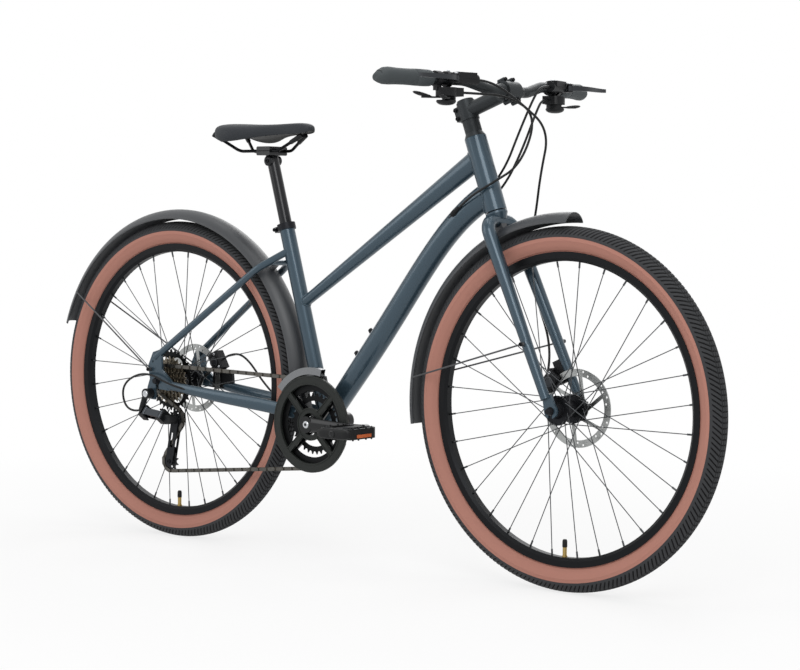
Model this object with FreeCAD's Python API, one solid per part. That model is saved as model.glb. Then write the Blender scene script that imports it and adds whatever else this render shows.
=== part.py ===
"""Hybrid bicycle with a low sloping top tube, disc brakes, mudguards and a two by eight drivetrain.

Millimetres, X forward, Y to the rider's left, Z up. The origin lies on the ground, below the middle
of the bicycle's overall length.
"""
import FreeCAD
import Part
import math
import os

from FreeCAD import Matrix, Vector

# Wheels and tyres
WHEELBASE = 1097.0
BEAD_SEAT_RADIUS = 311.0
TYRE_HEIGHT = 57.0
TYRE_WALL = 3.2
RIM_WIDTH = 25.0
RIM_DEPTH = 19.0
RIM_FLANGE_HEIGHT = 6.0
RIM_WALL = 1.8
TUBE_WALL = 1.0
VALVE_RADIUS = 4.0
VALVE_LENGTH = 34.0
SPOKE_COUNT = 32
SPOKE_RADIUS = 1.0
SPOKE_CROSS_ANGLE = 67.5
SPOKE_STAND_OFF = 1.3
SPOKE_ELBOW_RADIUS = 1.4
NIPPLE_RADIUS = 2.0
NIPPLE_LENGTH = 12.0
FLANGE_RADIUS = 30.0
FLANGE_THICKNESS = 3.2
HUB_SHELL_RADIUS = 17.0
FRONT_HUB_WIDTH = 100.0
REAR_HUB_WIDTH = 135.0
FRONT_AXLE_RADIUS = 4.5
REAR_AXLE_RADIUS = 5.0
LOCKNUT_RADIUS = 9.0
LOCKNUT_WIDTH = 4.5
FRONT_LEFT_FLANGE = 22.0
FRONT_RIGHT_FLANGE = -32.0
REAR_LEFT_FLANGE = 33.0

# Disc brakes
ROTOR_RADIUS = 80.0
ROTOR_THICKNESS = 1.8
ROTOR_TRACK = 15.0
ROTOR_BORE = 16.0
FRONT_ROTOR_INSET = 10.5
REAR_ROTOR_INSET = 15.5
PAD_THICKNESS = 3.0
PAD_GAP = 0.35
CALIPER_INNER_HALF = 12.0
CALIPER_OUTER_HALF = 17.0
CALIPER_FILLET = 4.0
PISTON_RADIUS = 11.0
PISTON_STAND = 2.5
CALIPER_HEIGHT = 30.0
CALIPER_LENGTH = 44.0

# Frame angles and lengths
HEAD_ANGLE = 70.0
FORK_RAKE = 35.0
SEAT_ANGLE = 74.0
SEAT_TUBE_LENGTH = 453.0
CHAINSTAY_RUN = 458.0
BRACKET_DROP = 70.0
HEAD_TUBE_LENGTH = 161.0
HEAD_TUBE_RADIUS = 23.0
HEAD_TUBE_BORE = 19.0
HEADSET_GAP = 3.0
HEADSET_RING_HEIGHT = 12.0
SEAT_TUBE_RADIUS = 17.0
SEATPOST_RADIUS = 13.6
BRACKET_RADIUS = 21.0
BRACKET_BORE = 17.0
BRACKET_WIDTH = 73.0
TUBE_THICKNESS = 2.0
TOP_TUBE_ON_SEAT = 268.0
TOP_TUBE_BELOW_HEAD_TOP = 41.0
TOP_TUBE_SEAT_HEIGHT = 23.0
TOP_TUBE_HEAD_HEIGHT = 45.0
TOP_TUBE_SEAT_WIDTH = 27.0
TOP_TUBE_HEAD_WIDTH = 36.0
DOWN_TUBE_ANGLE = 52.0
DOWN_TUBE_STRAIGHT = 520.0
DOWN_TUBE_ABOVE_HEAD_END = 39.0
DOWN_TUBE_HEIGHT = 49.0
DOWN_TUBE_WIDTH = 47.0
BOTTLE_BOSS_ALONG = 176.0
BOTTLE_BOSS_SPACING = 64.0
BOTTLE_BOSS_RADIUS = 5.0
BOTTLE_BOSS_STAND = 1.0
BOTTLE_BOSS_DEPTH = 11.0
BOTTLE_HOLE_RADIUS = 2.1
SEATSTAY_RADIUS = 8.0
SEATSTAY_JOIN = 62.0
SEATSTAY_BEND_X = 290.0
SEATSTAY_BEND_Z = 266.0
SEATSTAY_BEND_Y = -46.0
SEATSTAY_BEND_RADIUS = 60.0
STAY_BRIDGE_SHARE = 0.3
STAY_BRIDGE_RADIUS = 6.0
LOW_BRIDGE_RADIUS = 7.0
LOW_BRIDGE_AHEAD = 12.0
LOW_BRIDGE_Z = -54.0
STAY_END_Y = 70.0
CHAINSTAY_HEIGHT = 29.0
CHAINSTAY_WIDTH = 11.0
TYRE_SIDE_CLEARANCE = 6.5
DROPOUT_THICKNESS = 6.0
HANGER_X = -20.0
HANGER_Z = -30.0

# Fork and steering
STEERER_RADIUS = 14.3
CROWN_HEIGHT = 31.0
CROWN_GUARD_GAP = 4.0
FORK_LEG_RADIUS = 14.0
FORK_TIP_RADIUS = 10.0
FORK_LEG_Y = 46.0
FORK_TIP_Y = 58.0
FORK_BEND_RADIUS = 30.0
SPACER_STACK = 38.0
SPACER_RADIUS = 18.0
STEM_LENGTH = 110.0
STEM_CLAMP_HEIGHT = 40.0
STEM_RADIUS = 16.0
BAR_CLAMP_RADIUS = 15.9
BAR_CLAMP_WIDTH = 44.0
BAR_RADIUS = 11.1
BAR_HALF_WIDTH = 345.0
BAR_RISE = 16.0
BAR_SWEEP = 56.0
BAR_WALL = 2.2
GRIP_RADIUS = 16.0
GRIP_LENGTH = 130.0

# Mudguards
GUARD_GAP = 28.0
GUARD_THICKNESS = 2.0
GUARD_HALF_WIDTH = 31.0
GUARD_SAG = 19.0
GUARD_LIP = 3.0
FRONT_GUARD_TIP = 88.0
FRONT_GUARD_TAIL = 188.0
REAR_GUARD_FRONT = -4.0
REAR_GUARD_TAIL = 161.8
STAY_WIRE_RADIUS = 1.8

# Saddle and seatpost
SADDLE_LENGTH = 262.0
SADDLE_WIDTH = 160.0
SADDLE_TOP = 589.0
SADDLE_TAIL_X = 150.0
RAIL_RADIUS = 3.5
RAIL_SPACING = 44.0
POST_INSERT = 130.0

# Drivetrain
CHAIN_PITCH = 12.7
ROLLER_RADIUS = 3.86
SEAT_CLEARANCE = 0.16
CHAIN_INNER_WIDTH = 2.5
CHAIN_PLATE = 1.0
CHAIN_PLATE_RADIUS = 4.1
CHAIN_LINE = -47.0
TOOTH_RISE = 2.7
TOOTH_TIP = 0.9
BIG_RING_TEETH = 48
SMALL_RING_TEETH = 32
RING_SPACING = 7.5
RING_THICKNESS = 1.9
BIG_RING_INNER = 73.0
SMALL_RING_INNER = 50.0
SPROCKET_TEETH = (11, 13, 15, 17, 20, 23, 26, 34)
CHAIN_SPROCKET = 3
SPROCKET_SPACING = 4.8
SPROCKET_THICKNESS = 1.8
FREEHUB_RADIUS = 16.5
PULLEY_TEETH = 11
GUIDE_PULLEY_X = 38.0
GUIDE_PULLEY_Z = -87.0
PULLEY_SPACING = 102.0
PULLEY_WIDTH = 2.2
CRANK_LENGTH = 170.0
CRANK_INNER_Y = 57.5
CRANK_THICKNESS = 13.0
CRANK_FLARE = 8.0
CRANK_HUB_RADIUS = 18.0
CRANK_EYE_RADIUS = 13.0
SPINDLE_RADIUS = 8.55
CHAINGUARD_RADIUS = 106.0
CHAINGUARD_THICKNESS = 5.5
CHAINGUARD_BAND = 20.0
PEDAL_SPINDLE_RADIUS = 5.0
PEDAL_WIDTH = 92.0
PEDAL_LENGTH = 88.0
PEDAL_HEIGHT = 22.0

# Clearances
RUNNING_CLEARANCE = 0.05
SIDE_CLEARANCE = 0.4
FREE_CLEARANCE = 0.5

# Values that follow from the sizes above
TYRE_RADIUS = BEAD_SEAT_RADIUS + TYRE_HEIGHT
FLANGE_TOP_RADIUS = BEAD_SEAT_RADIUS + RIM_FLANGE_HEIGHT
RIM_INNER_RADIUS = FLANGE_TOP_RADIUS - RIM_DEPTH
BEAD_HALF_WIDTH = RIM_WIDTH / 2 - RIM_WALL - 0.3
TYRE_ARC_CENTRE = (TYRE_RADIUS**2 - (FLANGE_TOP_RADIUS + 1.5)**2 - BEAD_HALF_WIDTH**2) / (
    2 * (TYRE_RADIUS - FLANGE_TOP_RADIUS - 1.5))
TYRE_ARC_RADIUS = TYRE_RADIUS - TYRE_ARC_CENTRE
GUARD_RADIUS = TYRE_RADIUS + GUARD_GAP
FORK_LENGTH = GUARD_RADIUS + CROWN_GUARD_GAP + CROWN_HEIGHT
REAR_REACH = max(TYRE_RADIUS, -GUARD_RADIUS * math.cos(math.radians(REAR_GUARD_TAIL)))
REAR_X = REAR_REACH - (REAR_REACH + WHEELBASE + TYRE_RADIUS) / 2
FRONT_X = REAR_X + WHEELBASE
LEAN = math.radians(90 - HEAD_ANGLE)
SEAT_LEAN = math.radians(90 - SEAT_ANGLE)
PARTS = {}


def rear(x, y, z):
    """Point measured from the middle of the rear axle."""
    return Vector(REAR_X + x, y, TYRE_RADIUS + z)


def front(x, y, z):
    """Point measured from the middle of the front axle."""
    return Vector(FRONT_X + x, y, TYRE_RADIUS + z)


def bracket(x, y, z):
    """Point measured from the middle of the bottom bracket."""
    return rear(CHAINSTAY_RUN + x, y, z - BRACKET_DROP)


def steer(along, forward, y):
    """Point measured along the steering axis and square to it."""
    across = forward - FORK_RAKE
    x = across * math.cos(LEAN) - along * math.sin(LEAN)
    z = across * math.sin(LEAN) + along * math.cos(LEAN)
    return front(x, y, z)


def seat_line(along, forward=0.0, y=0.0):
    """Point measured along the seat tube from the bottom bracket and square to it."""
    x = forward * math.cos(SEAT_LEAN) - along * math.sin(SEAT_LEAN)
    z = forward * math.sin(SEAT_LEAN) + along * math.cos(SEAT_LEAN)
    return bracket(x, y, z)


STEER_FORWARD = (steer(0, 1, 0) - steer(0, 0, 0)).normalize()
SEAT_UP = (seat_line(1) - seat_line(0)).normalize()
SEAT_FORWARD = (seat_line(0, 1) - seat_line(0)).normalize()
SIDE = Vector(0, 1, 0)
UP = Vector(0, 0, 1)


def cylinder(radius, start, end):
    axis = end - start
    return Part.makeCylinder(radius, axis.Length, start, axis)


def cone(start_radius, end_radius, start, end):
    axis = end - start
    return Part.makeCone(start_radius, end_radius, axis.Length, start, axis)


def ring(outer, inner, start, end):
    return cylinder(outer, start, end).cut(cylinder(inner, start, end))


def block(centre, along, across, length, width, height):
    """Box with its length along one direction and its width along another."""
    x_axis = Vector(along).normalize()
    z_axis = x_axis.cross(across).normalize()
    y_axis = z_axis.cross(x_axis)
    box = Part.makeBox(length, width, height, Vector(-length / 2, -width / 2, -height / 2))
    turn = FreeCAD.Rotation(x_axis, y_axis, z_axis, "XYZ")
    box.Placement = FreeCAD.Placement(centre, turn)
    return box


def spin(profile, centre):
    """Solid of revolution about the wheel axis: profile points are (y, radius)."""
    points = [centre + Vector(0, y, radius) for y, radius in profile]
    face = Part.Face(Part.makePolygon(points + [points[0]]))
    return face.revolve(centre, SIDE, 360)


def plate(outline, y_start, y_end, origin):
    """Flat plate square to Y from an outline of (x, z) points."""
    points = [origin + Vector(x, y_start, z) for x, z in outline]
    face = Part.Face(Part.makePolygon(points + [points[0]]))
    return face.extrude(Vector(0, y_end - y_start, 0))


def polar(centre, radius, angle, y=0.0):
    """Point in the wheel plane, the angle counted from forward to up."""
    return centre + Vector(radius * math.cos(angle), y, radius * math.sin(angle))


def path(points, bends):
    """Straight runs joined at the inner points by tangent arcs of the given radii."""
    edges = []
    start = points[0]
    for before, corner, after, radius in zip(points, points[1:], points[2:], bends):
        inward = (before - corner).normalize()
        outward = (after - corner).normalize()
        half = inward.getAngle(outward) / 2
        first = corner + inward * (radius / math.tan(half))
        last = corner + outward * (radius / math.tan(half))
        middle = corner + (inward + outward).normalize() * (radius / math.sin(half) - radius)
        edges.append(Part.LineSegment(start, first).toShape())
        edges.append(Part.Arc(first, middle, last).toShape())
        start = last
    edges.append(Part.LineSegment(start, points[-1]).toShape())
    return Part.Wire(edges)


def rod(points, radius, bends):
    """Round bar along straight runs and arcs."""
    section = Part.Wire([Part.Circle(points[0], points[1] - points[0], radius).toShape()])
    return path(points, bends).makePipeShell([section], True, False)


def cable(points, radius):
    """Round cable whose bends are as wide as the runs between its points allow."""
    bends = []
    for before, corner, after in zip(points, points[1:], points[2:]):
        shorter = min((before - corner).Length, (after - corner).Length)
        half = (before - corner).getAngle(after - corner) / 2
        bends.append(0.45 * shorter * math.tan(half))
    return rod(points, radius, bends)


def oval(centre, along, width, height):
    """Oval section square to a direction: the width is the more sideways of its axes."""
    forward = Vector(along).normalize()
    across = (SIDE - forward * SIDE.dot(forward)).normalize()
    rise = forward.cross(across)
    across = across * (width / 2)
    rise = rise * (height / 2)
    circle = Part.Circle(Vector(0, 0, 0), UP, 1).toShape()
    place = Matrix(across.x, rise.x, forward.x, centre.x,
                   across.y, rise.y, forward.y, centre.y,
                   across.z, rise.z, forward.z, centre.z,
                   0, 0, 0, 1)
    return Part.Wire(circle.transformGeometry(place).Edges)


def oval_tube(stations, wall):
    """Hollow tube lofted through stations of centre, direction, width and height."""
    outer = Part.makeLoft([oval(*station) for station in stations], True)
    inner = Part.makeLoft([oval(c, d, w - 2 * wall, h - 2 * wall) for c, d, w, h in stations], True)
    return outer, outer.cut(inner)


def mirror(shape):
    """The same piece on the other side of the bicycle."""
    return shape.mirror(Vector(0, 0, 0), SIDE)


def keep(name, *pieces):
    """Record a sub-part as a group of its solids."""
    solids = []
    for piece in pieces:
        solids.extend(piece.Solids)
    PARTS[name] = Part.makeCompound(solids)


# Main frame: head tube, seat tube, bracket shell and the two shaped tubes, mitred where they are welded
HEAD_START = FORK_LENGTH + HEADSET_GAP
HEAD_END = HEAD_START + HEAD_TUBE_LENGTH
head_core = cylinder(HEAD_TUBE_RADIUS, steer(HEAD_START, 0, 0), steer(HEAD_END, 0, 0))
head_tube = ring(HEAD_TUBE_RADIUS, HEAD_TUBE_BORE, steer(HEAD_START, 0, 0), steer(HEAD_END, 0, 0))
bracket_core = cylinder(BRACKET_RADIUS, bracket(0, -BRACKET_WIDTH / 2, 0), bracket(0, BRACKET_WIDTH / 2, 0))
bracket_shell = bracket_core.cut(
    cylinder(BRACKET_BORE, bracket(0, -BRACKET_WIDTH / 2, 0), bracket(0, BRACKET_WIDTH / 2, 0)))
seat_core = cylinder(SEAT_TUBE_RADIUS, seat_line(0), seat_line(SEAT_TUBE_LENGTH))
seat_bore = cylinder(SEATPOST_RADIUS + RUNNING_CLEARANCE, seat_line(0), seat_line(SEAT_TUBE_LENGTH))
seat_tube = seat_core.cut(seat_bore).cut(bracket_core)

down_direction = Vector(math.cos(math.radians(DOWN_TUBE_ANGLE)), 0, math.sin(math.radians(DOWN_TUBE_ANGLE)))
down_corner = bracket(0, 0, 0) + down_direction * DOWN_TUBE_STRAIGHT
down_head = steer(HEAD_START + DOWN_TUBE_ABOVE_HEAD_END, 0, 0)
down_entry = (down_head - down_corner).normalize()
down_middle = (down_direction + down_entry).normalize()
down_stations = [
    (bracket(0, 0, 0), down_direction, DOWN_TUBE_WIDTH + 8, 2 * BRACKET_RADIUS - 5),
    (bracket(0, 0, 0) + down_direction * (0.3 * DOWN_TUBE_STRAIGHT), down_direction,
     DOWN_TUBE_WIDTH, DOWN_TUBE_HEIGHT),
    (bracket(0, 0, 0) + down_direction * (0.75 * DOWN_TUBE_STRAIGHT), down_direction,
     DOWN_TUBE_WIDTH, DOWN_TUBE_HEIGHT),
    (down_corner + (down_entry - down_direction) * 12, down_middle, DOWN_TUBE_WIDTH, DOWN_TUBE_HEIGHT),
    (down_head, down_entry, 2 * HEAD_TUBE_RADIUS - 2, DOWN_TUBE_HEIGHT + 8),
]
down_core, down_hollow = oval_tube(down_stations, TUBE_THICKNESS)
down_tube = down_hollow.cut(head_core).cut(bracket_core).cut(seat_core)
DOWN_NORMAL = Vector(-down_direction.z, 0, down_direction.x)
boss_mouths = []
bosses = []
for along in (BOTTLE_BOSS_ALONG, BOTTLE_BOSS_ALONG + BOTTLE_BOSS_SPACING):
    foot = bracket(0, 0, 0) + down_direction * along
    mouth = foot + DOWN_NORMAL * (DOWN_TUBE_HEIGHT / 2 + BOTTLE_BOSS_STAND)
    floor = mouth - DOWN_NORMAL * BOTTLE_BOSS_DEPTH
    down_tube = down_tube.cut(cylinder(BOTTLE_BOSS_RADIUS, floor, mouth + DOWN_NORMAL * BOTTLE_BOSS_DEPTH))
    bosses.append(ring(BOTTLE_BOSS_RADIUS, BOTTLE_HOLE_RADIUS, floor, mouth))
    boss_mouths.append(mouth)

top_start = seat_line(TOP_TUBE_ON_SEAT)
top_end = steer(HEAD_END - TOP_TUBE_BELOW_HEAD_TOP, 0, 0)
top_direction = (top_end - top_start).normalize()
top_core, top_hollow = oval_tube([
    (top_start, top_direction, TOP_TUBE_SEAT_WIDTH, TOP_TUBE_SEAT_HEIGHT),
    (top_end, top_direction, TOP_TUBE_HEAD_WIDTH, TOP_TUBE_HEAD_HEIGHT),
], TUBE_THICKNESS)
top_tube = top_hollow.cut(head_core).cut(seat_core).cut(down_core)
keep("main_frame", head_tube, seat_tube, bracket_shell, down_tube, top_tube, *bosses)

# Rear stays: tall oval chainstays that pass the tyre, bent round seatstays, dropouts and bridges
tyre_side = TYRE_ARC_RADIUS + TYRE_SIDE_CLEARANCE + CHAINSTAY_WIDTH / 2
chainstay_rows = [
    (34.0, STAY_END_Y, -9.0, 14.0, 20.0),
    (120.0, 62.0, -19.0, 15.0, 24.0),
    (230.0, 50.5, -31.0, 15.0, CHAINSTAY_HEIGHT),
    (0.735 * CHAINSTAY_RUN, tyre_side, -43.0, CHAINSTAY_WIDTH, CHAINSTAY_HEIGHT),
    (0.86 * CHAINSTAY_RUN, tyre_side - 6.5, -51.0, CHAINSTAY_WIDTH, CHAINSTAY_HEIGHT),
    (0.985 * CHAINSTAY_RUN, 25.5, -59.0, CHAINSTAY_WIDTH, CHAINSTAY_HEIGHT),
]
chainstay_points = [rear(x, -y, z) for x, y, z, w, h in chainstay_rows]
chainstay_stations = []
for i, (x, y, z, w, h) in enumerate(chainstay_rows):
    heading = chainstay_points[min(i + 1, len(chainstay_rows) - 1)] - chainstay_points[max(i - 1, 0)]
    chainstay_stations.append((chainstay_points[i], heading, w, h))
chainstay_core, chainstay_hollow = oval_tube(chainstay_stations, 1.6)
right_chainstay = chainstay_hollow.cut(bracket_core).cut(seat_core)

seatstay_points = [
    rear(-8, -STAY_END_Y, 54),
    rear(SEATSTAY_BEND_X, SEATSTAY_BEND_Y, SEATSTAY_BEND_Z),
    seat_line(SEAT_TUBE_LENGTH - SEATSTAY_JOIN, 0, -0.5 * SEAT_TUBE_RADIUS),
]
seatstay_core = rod(seatstay_points, SEATSTAY_RADIUS, [SEATSTAY_BEND_RADIUS])
seatstay_bore = rod(seatstay_points, SEATSTAY_RADIUS - 1.5, [SEATSTAY_BEND_RADIUS])
right_seatstay = seatstay_core.cut(seatstay_bore).cut(seat_core)

DROPOUT_INNER = REAR_HUB_WIDTH / 2
DROPOUT_OUTER = DROPOUT_INNER + DROPOUT_THICKNESS
slot_width = 2 * (REAR_AXLE_RADIUS + RUNNING_CLEARANCE)
slot = plate([(-slot_width / 2, 0), (slot_width / 2, 0), (slot_width / 2, -60), (-slot_width / 2, -60)],
             -DROPOUT_OUTER - 1, -DROPOUT_INNER + 1, rear(0, 0, 0))
axle_hole = cylinder(slot_width / 2, rear(0, -DROPOUT_OUTER - 1, 0), rear(0, -DROPOUT_INNER + 1, 0))
dropout_edge = [(-30, 34), (-14, 66), (6, 72), (13, 58), (15, 26), (42, 4), (52, -6), (38, -21), (10, -19)]
left_edge = dropout_edge + [(-10, -19), (-24, 4)]
hanger_edge = dropout_edge + [(-7, -19), (-8, HANGER_Z - 14), (HANGER_X - 12, HANGER_Z - 12),
                              (HANGER_X - 12, HANGER_Z + 14), (-24, 4)]
EYELET_RADIUS = 2.5
eyelet = cylinder(EYELET_RADIUS, rear(-22, -DROPOUT_OUTER - 1, 26), rear(-22, -DROPOUT_INNER + 1, 26))
rack_eyelet = cylinder(EYELET_RADIUS, rear(-14, -DROPOUT_OUTER - 1, 44), rear(-14, -DROPOUT_INNER + 1, 44))
HANGER_BORE = 5.0
hanger_hole = cylinder(HANGER_BORE, rear(HANGER_X, -DROPOUT_OUTER - 1, HANGER_Z),
                       rear(HANGER_X, -DROPOUT_INNER + 1, HANGER_Z))
dropouts = []
for edge in (hanger_edge, left_edge):
    piece = plate(edge, -DROPOUT_OUTER, -DROPOUT_INNER, rear(0, 0, 0))
    for cutter in (slot, axle_hole, eyelet, rack_eyelet, seatstay_core, chainstay_core):
        piece = piece.cut(cutter)
    dropouts.append(piece)
right_dropout = dropouts[0].cut(hanger_hole)
left_dropout = mirror(dropouts[1])

stay_meeting = seatstay_points[1] + (seatstay_points[2] - seatstay_points[1]) * STAY_BRIDGE_SHARE
low_meeting = rear(GUARD_RADIUS + LOW_BRIDGE_AHEAD, -tyre_side, LOW_BRIDGE_Z)


def across(point, radius):
    """Round bar from a point on the right to the same point on the left."""
    return cylinder(radius, point, Vector(point.x, -point.y, point.z))


stay_bridge_core = across(stay_meeting, STAY_BRIDGE_RADIUS)
low_bridge_core = across(low_meeting, LOW_BRIDGE_RADIUS)
stay_bridge = stay_bridge_core.cut(seatstay_core).cut(mirror(seatstay_core))
low_bridge = low_bridge_core.cut(chainstay_core).cut(mirror(chainstay_core))
bridge_pieces = []
for bridge in (stay_bridge, low_bridge):
    bridge_pieces.append(min(bridge.Solids, key=lambda solid: abs(solid.CenterOfMass.y)))
keep("rear_stays", right_chainstay, mirror(right_chainstay), right_seatstay, mirror(right_seatstay),
     right_dropout, left_dropout, *bridge_pieces)

# Seat collar with its pinch bolt behind the post
COLLAR_HEIGHT = 14.0
COLLAR_WALL = 3.5
collar_base = seat_line(SEAT_TUBE_LENGTH - COLLAR_HEIGHT)
collar_top = seat_line(SEAT_TUBE_LENGTH)
collar_ears = block(seat_line(SEAT_TUBE_LENGTH - COLLAR_HEIGHT / 2, -SEAT_TUBE_RADIUS - 6, 0),
                    SEAT_FORWARD, SIDE, 16, 14, COLLAR_HEIGHT - 2)
collar_slit = block(seat_line(SEAT_TUBE_LENGTH - COLLAR_HEIGHT / 2, -SEAT_TUBE_RADIUS - 8, 0),
                    SEAT_FORWARD, SIDE, 20, 2.0, COLLAR_HEIGHT + 2)
collar_bolt = cylinder(2.5, seat_line(SEAT_TUBE_LENGTH - COLLAR_HEIGHT / 2, -SEAT_TUBE_RADIUS - 9, -11),
                       seat_line(SEAT_TUBE_LENGTH - COLLAR_HEIGHT / 2, -SEAT_TUBE_RADIUS - 9, 11))
collar = cylinder(SEAT_TUBE_RADIUS + COLLAR_WALL, collar_base, collar_top).fuse(collar_ears)
collar = collar.cut(cylinder(SEAT_TUBE_RADIUS, collar_base, collar_top)).cut(collar_slit)
keep("seat_clamp", collar.cut(collar_bolt), collar_bolt)

# Bearing rings of the headset and cups of the bottom bracket
STEERER_BORE = STEERER_RADIUS + RUNNING_CLEARANCE
lower_ring = ring(HEAD_TUBE_BORE, STEERER_BORE, steer(HEAD_START, 0, 0),
                  steer(HEAD_START + HEADSET_RING_HEIGHT, 0, 0))
upper_ring = ring(HEAD_TUBE_BORE, STEERER_BORE, steer(HEAD_END - HEADSET_RING_HEIGHT, 0, 0),
                  steer(HEAD_END, 0, 0))
CUP_DEPTH = 18.0
bracket_cup = ring(BRACKET_BORE, SPINDLE_RADIUS + RUNNING_CLEARANCE,
                   bracket(0, -BRACKET_WIDTH / 2, 0), bracket(0, CUP_DEPTH - BRACKET_WIDTH / 2, 0))
keep("bearing_cups", lower_ring, upper_ring, bracket_cup, mirror(bracket_cup))


# Wheels: hub, laced spokes with nipples, double wall rim, tyre, inner tube with valve, brake rotor
def rim(centre):
    half = RIM_WIDTH / 2
    seat = BEAD_SEAT_RADIUS - 3
    knee = seat - 4
    inner = RIM_INNER_RADIUS
    outline = [(-half, FLANGE_TOP_RADIUS), (-half, knee), (-half + 5, inner), (half - 5, inner),
               (half, knee),
               (half, FLANGE_TOP_RADIUS), (half - RIM_WALL, FLANGE_TOP_RADIUS), (half - RIM_WALL, seat),
               (RIM_WALL - half, seat), (RIM_WALL - half, FLANGE_TOP_RADIUS)]
    hollow = [(RIM_WALL - half, seat - RIM_WALL), (RIM_WALL - half, knee),
              (RIM_WALL - half + 4.5, inner + RIM_WALL),
              (half - RIM_WALL - 4.5, inner + RIM_WALL), (half - RIM_WALL, knee), (half - RIM_WALL,
                                                                                   seat - RIM_WALL)]
    hole = cylinder(VALVE_RADIUS + 0.3, centre - UP * (RIM_INNER_RADIUS - 5),
                    centre - UP * (FLANGE_TOP_RADIUS + 5))
    return spin(outline, centre).cut(spin(hollow, centre)).cut(hole)


def tyre(centre):
    """Round casing that stands in the rim with its beads just inside the flanges."""
    bead = BEAD_SEAT_RADIUS - 3 + 0.3
    inner_half = BEAD_HALF_WIDTH - TYRE_WALL
    inner_arc = TYRE_ARC_RADIUS - TYRE_WALL
    outer_end = TYRE_ARC_CENTRE - math.sqrt(TYRE_ARC_RADIUS**2 - BEAD_HALF_WIDTH**2)
    inner_end = TYRE_ARC_CENTRE - math.sqrt(inner_arc**2 - inner_half**2)

    def point(y, radius):
        return centre + Vector(0, y, radius)

    edges = [
        Part.LineSegment(point(-BEAD_HALF_WIDTH, bead), point(-BEAD_HALF_WIDTH, outer_end)),
        Part.Arc(point(-BEAD_HALF_WIDTH, outer_end), point(0, TYRE_RADIUS),
                 point(BEAD_HALF_WIDTH, outer_end)),
        Part.LineSegment(point(BEAD_HALF_WIDTH, outer_end), point(BEAD_HALF_WIDTH, bead)),
        Part.LineSegment(point(BEAD_HALF_WIDTH, bead), point(inner_half, bead)),
        Part.LineSegment(point(inner_half, bead), point(inner_half, inner_end)),
        Part.Arc(point(inner_half, inner_end), point(0, TYRE_RADIUS - TYRE_WALL),
                 point(-inner_half, inner_end)),
        Part.LineSegment(point(-inner_half, inner_end), point(-inner_half, bead)),
        Part.LineSegment(point(-inner_half, bead), point(-BEAD_HALF_WIDTH, bead)),
    ]
    face = Part.Face(Part.Wire([edge.toShape() for edge in edges]))
    return face.revolve(centre, SIDE, 360)


def inner_tube(centre):
    """Thin torus inside the tyre with the valve pointing at the hub."""
    section = TYRE_ARC_RADIUS - TYRE_WALL - 0.4
    outer = Part.makeTorus(TYRE_ARC_CENTRE, section, centre, SIDE)
    hollow = Part.makeTorus(TYRE_ARC_CENTRE, section - TUBE_WALL, centre, SIDE)
    valve_base = centre - UP * (TYRE_ARC_CENTRE - section + TUBE_WALL / 2)
    valve_tip = centre - UP * (RIM_INNER_RADIUS - VALVE_LENGTH)
    valve = cylinder(VALVE_RADIUS, valve_base, valve_tip)
    return outer.fuse(valve).cut(hollow)


def spokes(centre, left_flange, right_flange):
    """Crossed spokes with an elbow through the flange and a nipple at the rim."""
    pieces = []
    hole_circle = FLANGE_RADIUS - 3
    per_side = SPOKE_COUNT // 2
    stand_off = FLANGE_THICKNESS / 2 + SPOKE_RADIUS + SPOKE_STAND_OFF
    for side, flange in ((1, left_flange), (-1, right_flange)):
        for i in range(per_side):
            hub_angle = 2 * math.pi * (i + 0.25 * side) / per_side
            trailing = 1 if i % 2 else -1
            rim_angle = hub_angle + trailing * math.radians(SPOKE_CROSS_ANGLE)
            head_y = flange - trailing * stand_off
            elbow_y = flange + trailing * stand_off
            head = polar(centre, hole_circle, hub_angle, head_y)
            elbow = polar(centre, hole_circle, hub_angle, elbow_y)
            toward_rim = polar(centre, RIM_INNER_RADIUS - 0.35, rim_angle, 2.5 * side)
            direction = (toward_rim - elbow).normalize()
            spoke = rod([head, elbow, toward_rim - direction * (NIPPLE_LENGTH / 2)], SPOKE_RADIUS,
                        [SPOKE_ELBOW_RADIUS])
            spoke = spoke.fuse(cylinder(NIPPLE_RADIUS, toward_rim - direction * NIPPLE_LENGTH, toward_rim))
            pieces.append(spoke)
    return pieces


def hub(centre, left_flange, right_flange, left_end, right_end, rotor_y, bore):
    """Hub shell with two drilled flanges and the seat of the rotor on its left end."""
    half = FLANGE_THICKNESS / 2
    seat = rotor_y - ROTOR_THICKNESS / 2
    outline = [(right_end, bore), (right_end, 13), (right_flange - half, HUB_SHELL_RADIUS),
               (right_flange - half, FLANGE_RADIUS), (right_flange + half, FLANGE_RADIUS),
               (right_flange + half, HUB_SHELL_RADIUS), (left_flange - half, HUB_SHELL_RADIUS),
               (left_flange - half, FLANGE_RADIUS), (left_flange + half, FLANGE_RADIUS),
               (left_flange + half, HUB_SHELL_RADIUS + 5), (seat, HUB_SHELL_RADIUS + 5), (seat, ROTOR_BORE),
               (left_end, ROTOR_BORE), (left_end, bore)]
    body = spin(outline, centre)
    per_side = SPOKE_COUNT // 2
    drills = []
    for side, flange in ((1, left_flange), (-1, right_flange)):
        for i in range(per_side):
            angle = 2 * math.pi * (i + 0.25 * side) / per_side
            drills.append(cylinder(SPOKE_RADIUS + 0.2,
                                   polar(centre, FLANGE_RADIUS - 3, angle, flange - 2 * half),
                                   polar(centre, FLANGE_RADIUS - 3, angle, flange + 2 * half)))
    return body.cut(Part.makeCompound(drills))


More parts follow.
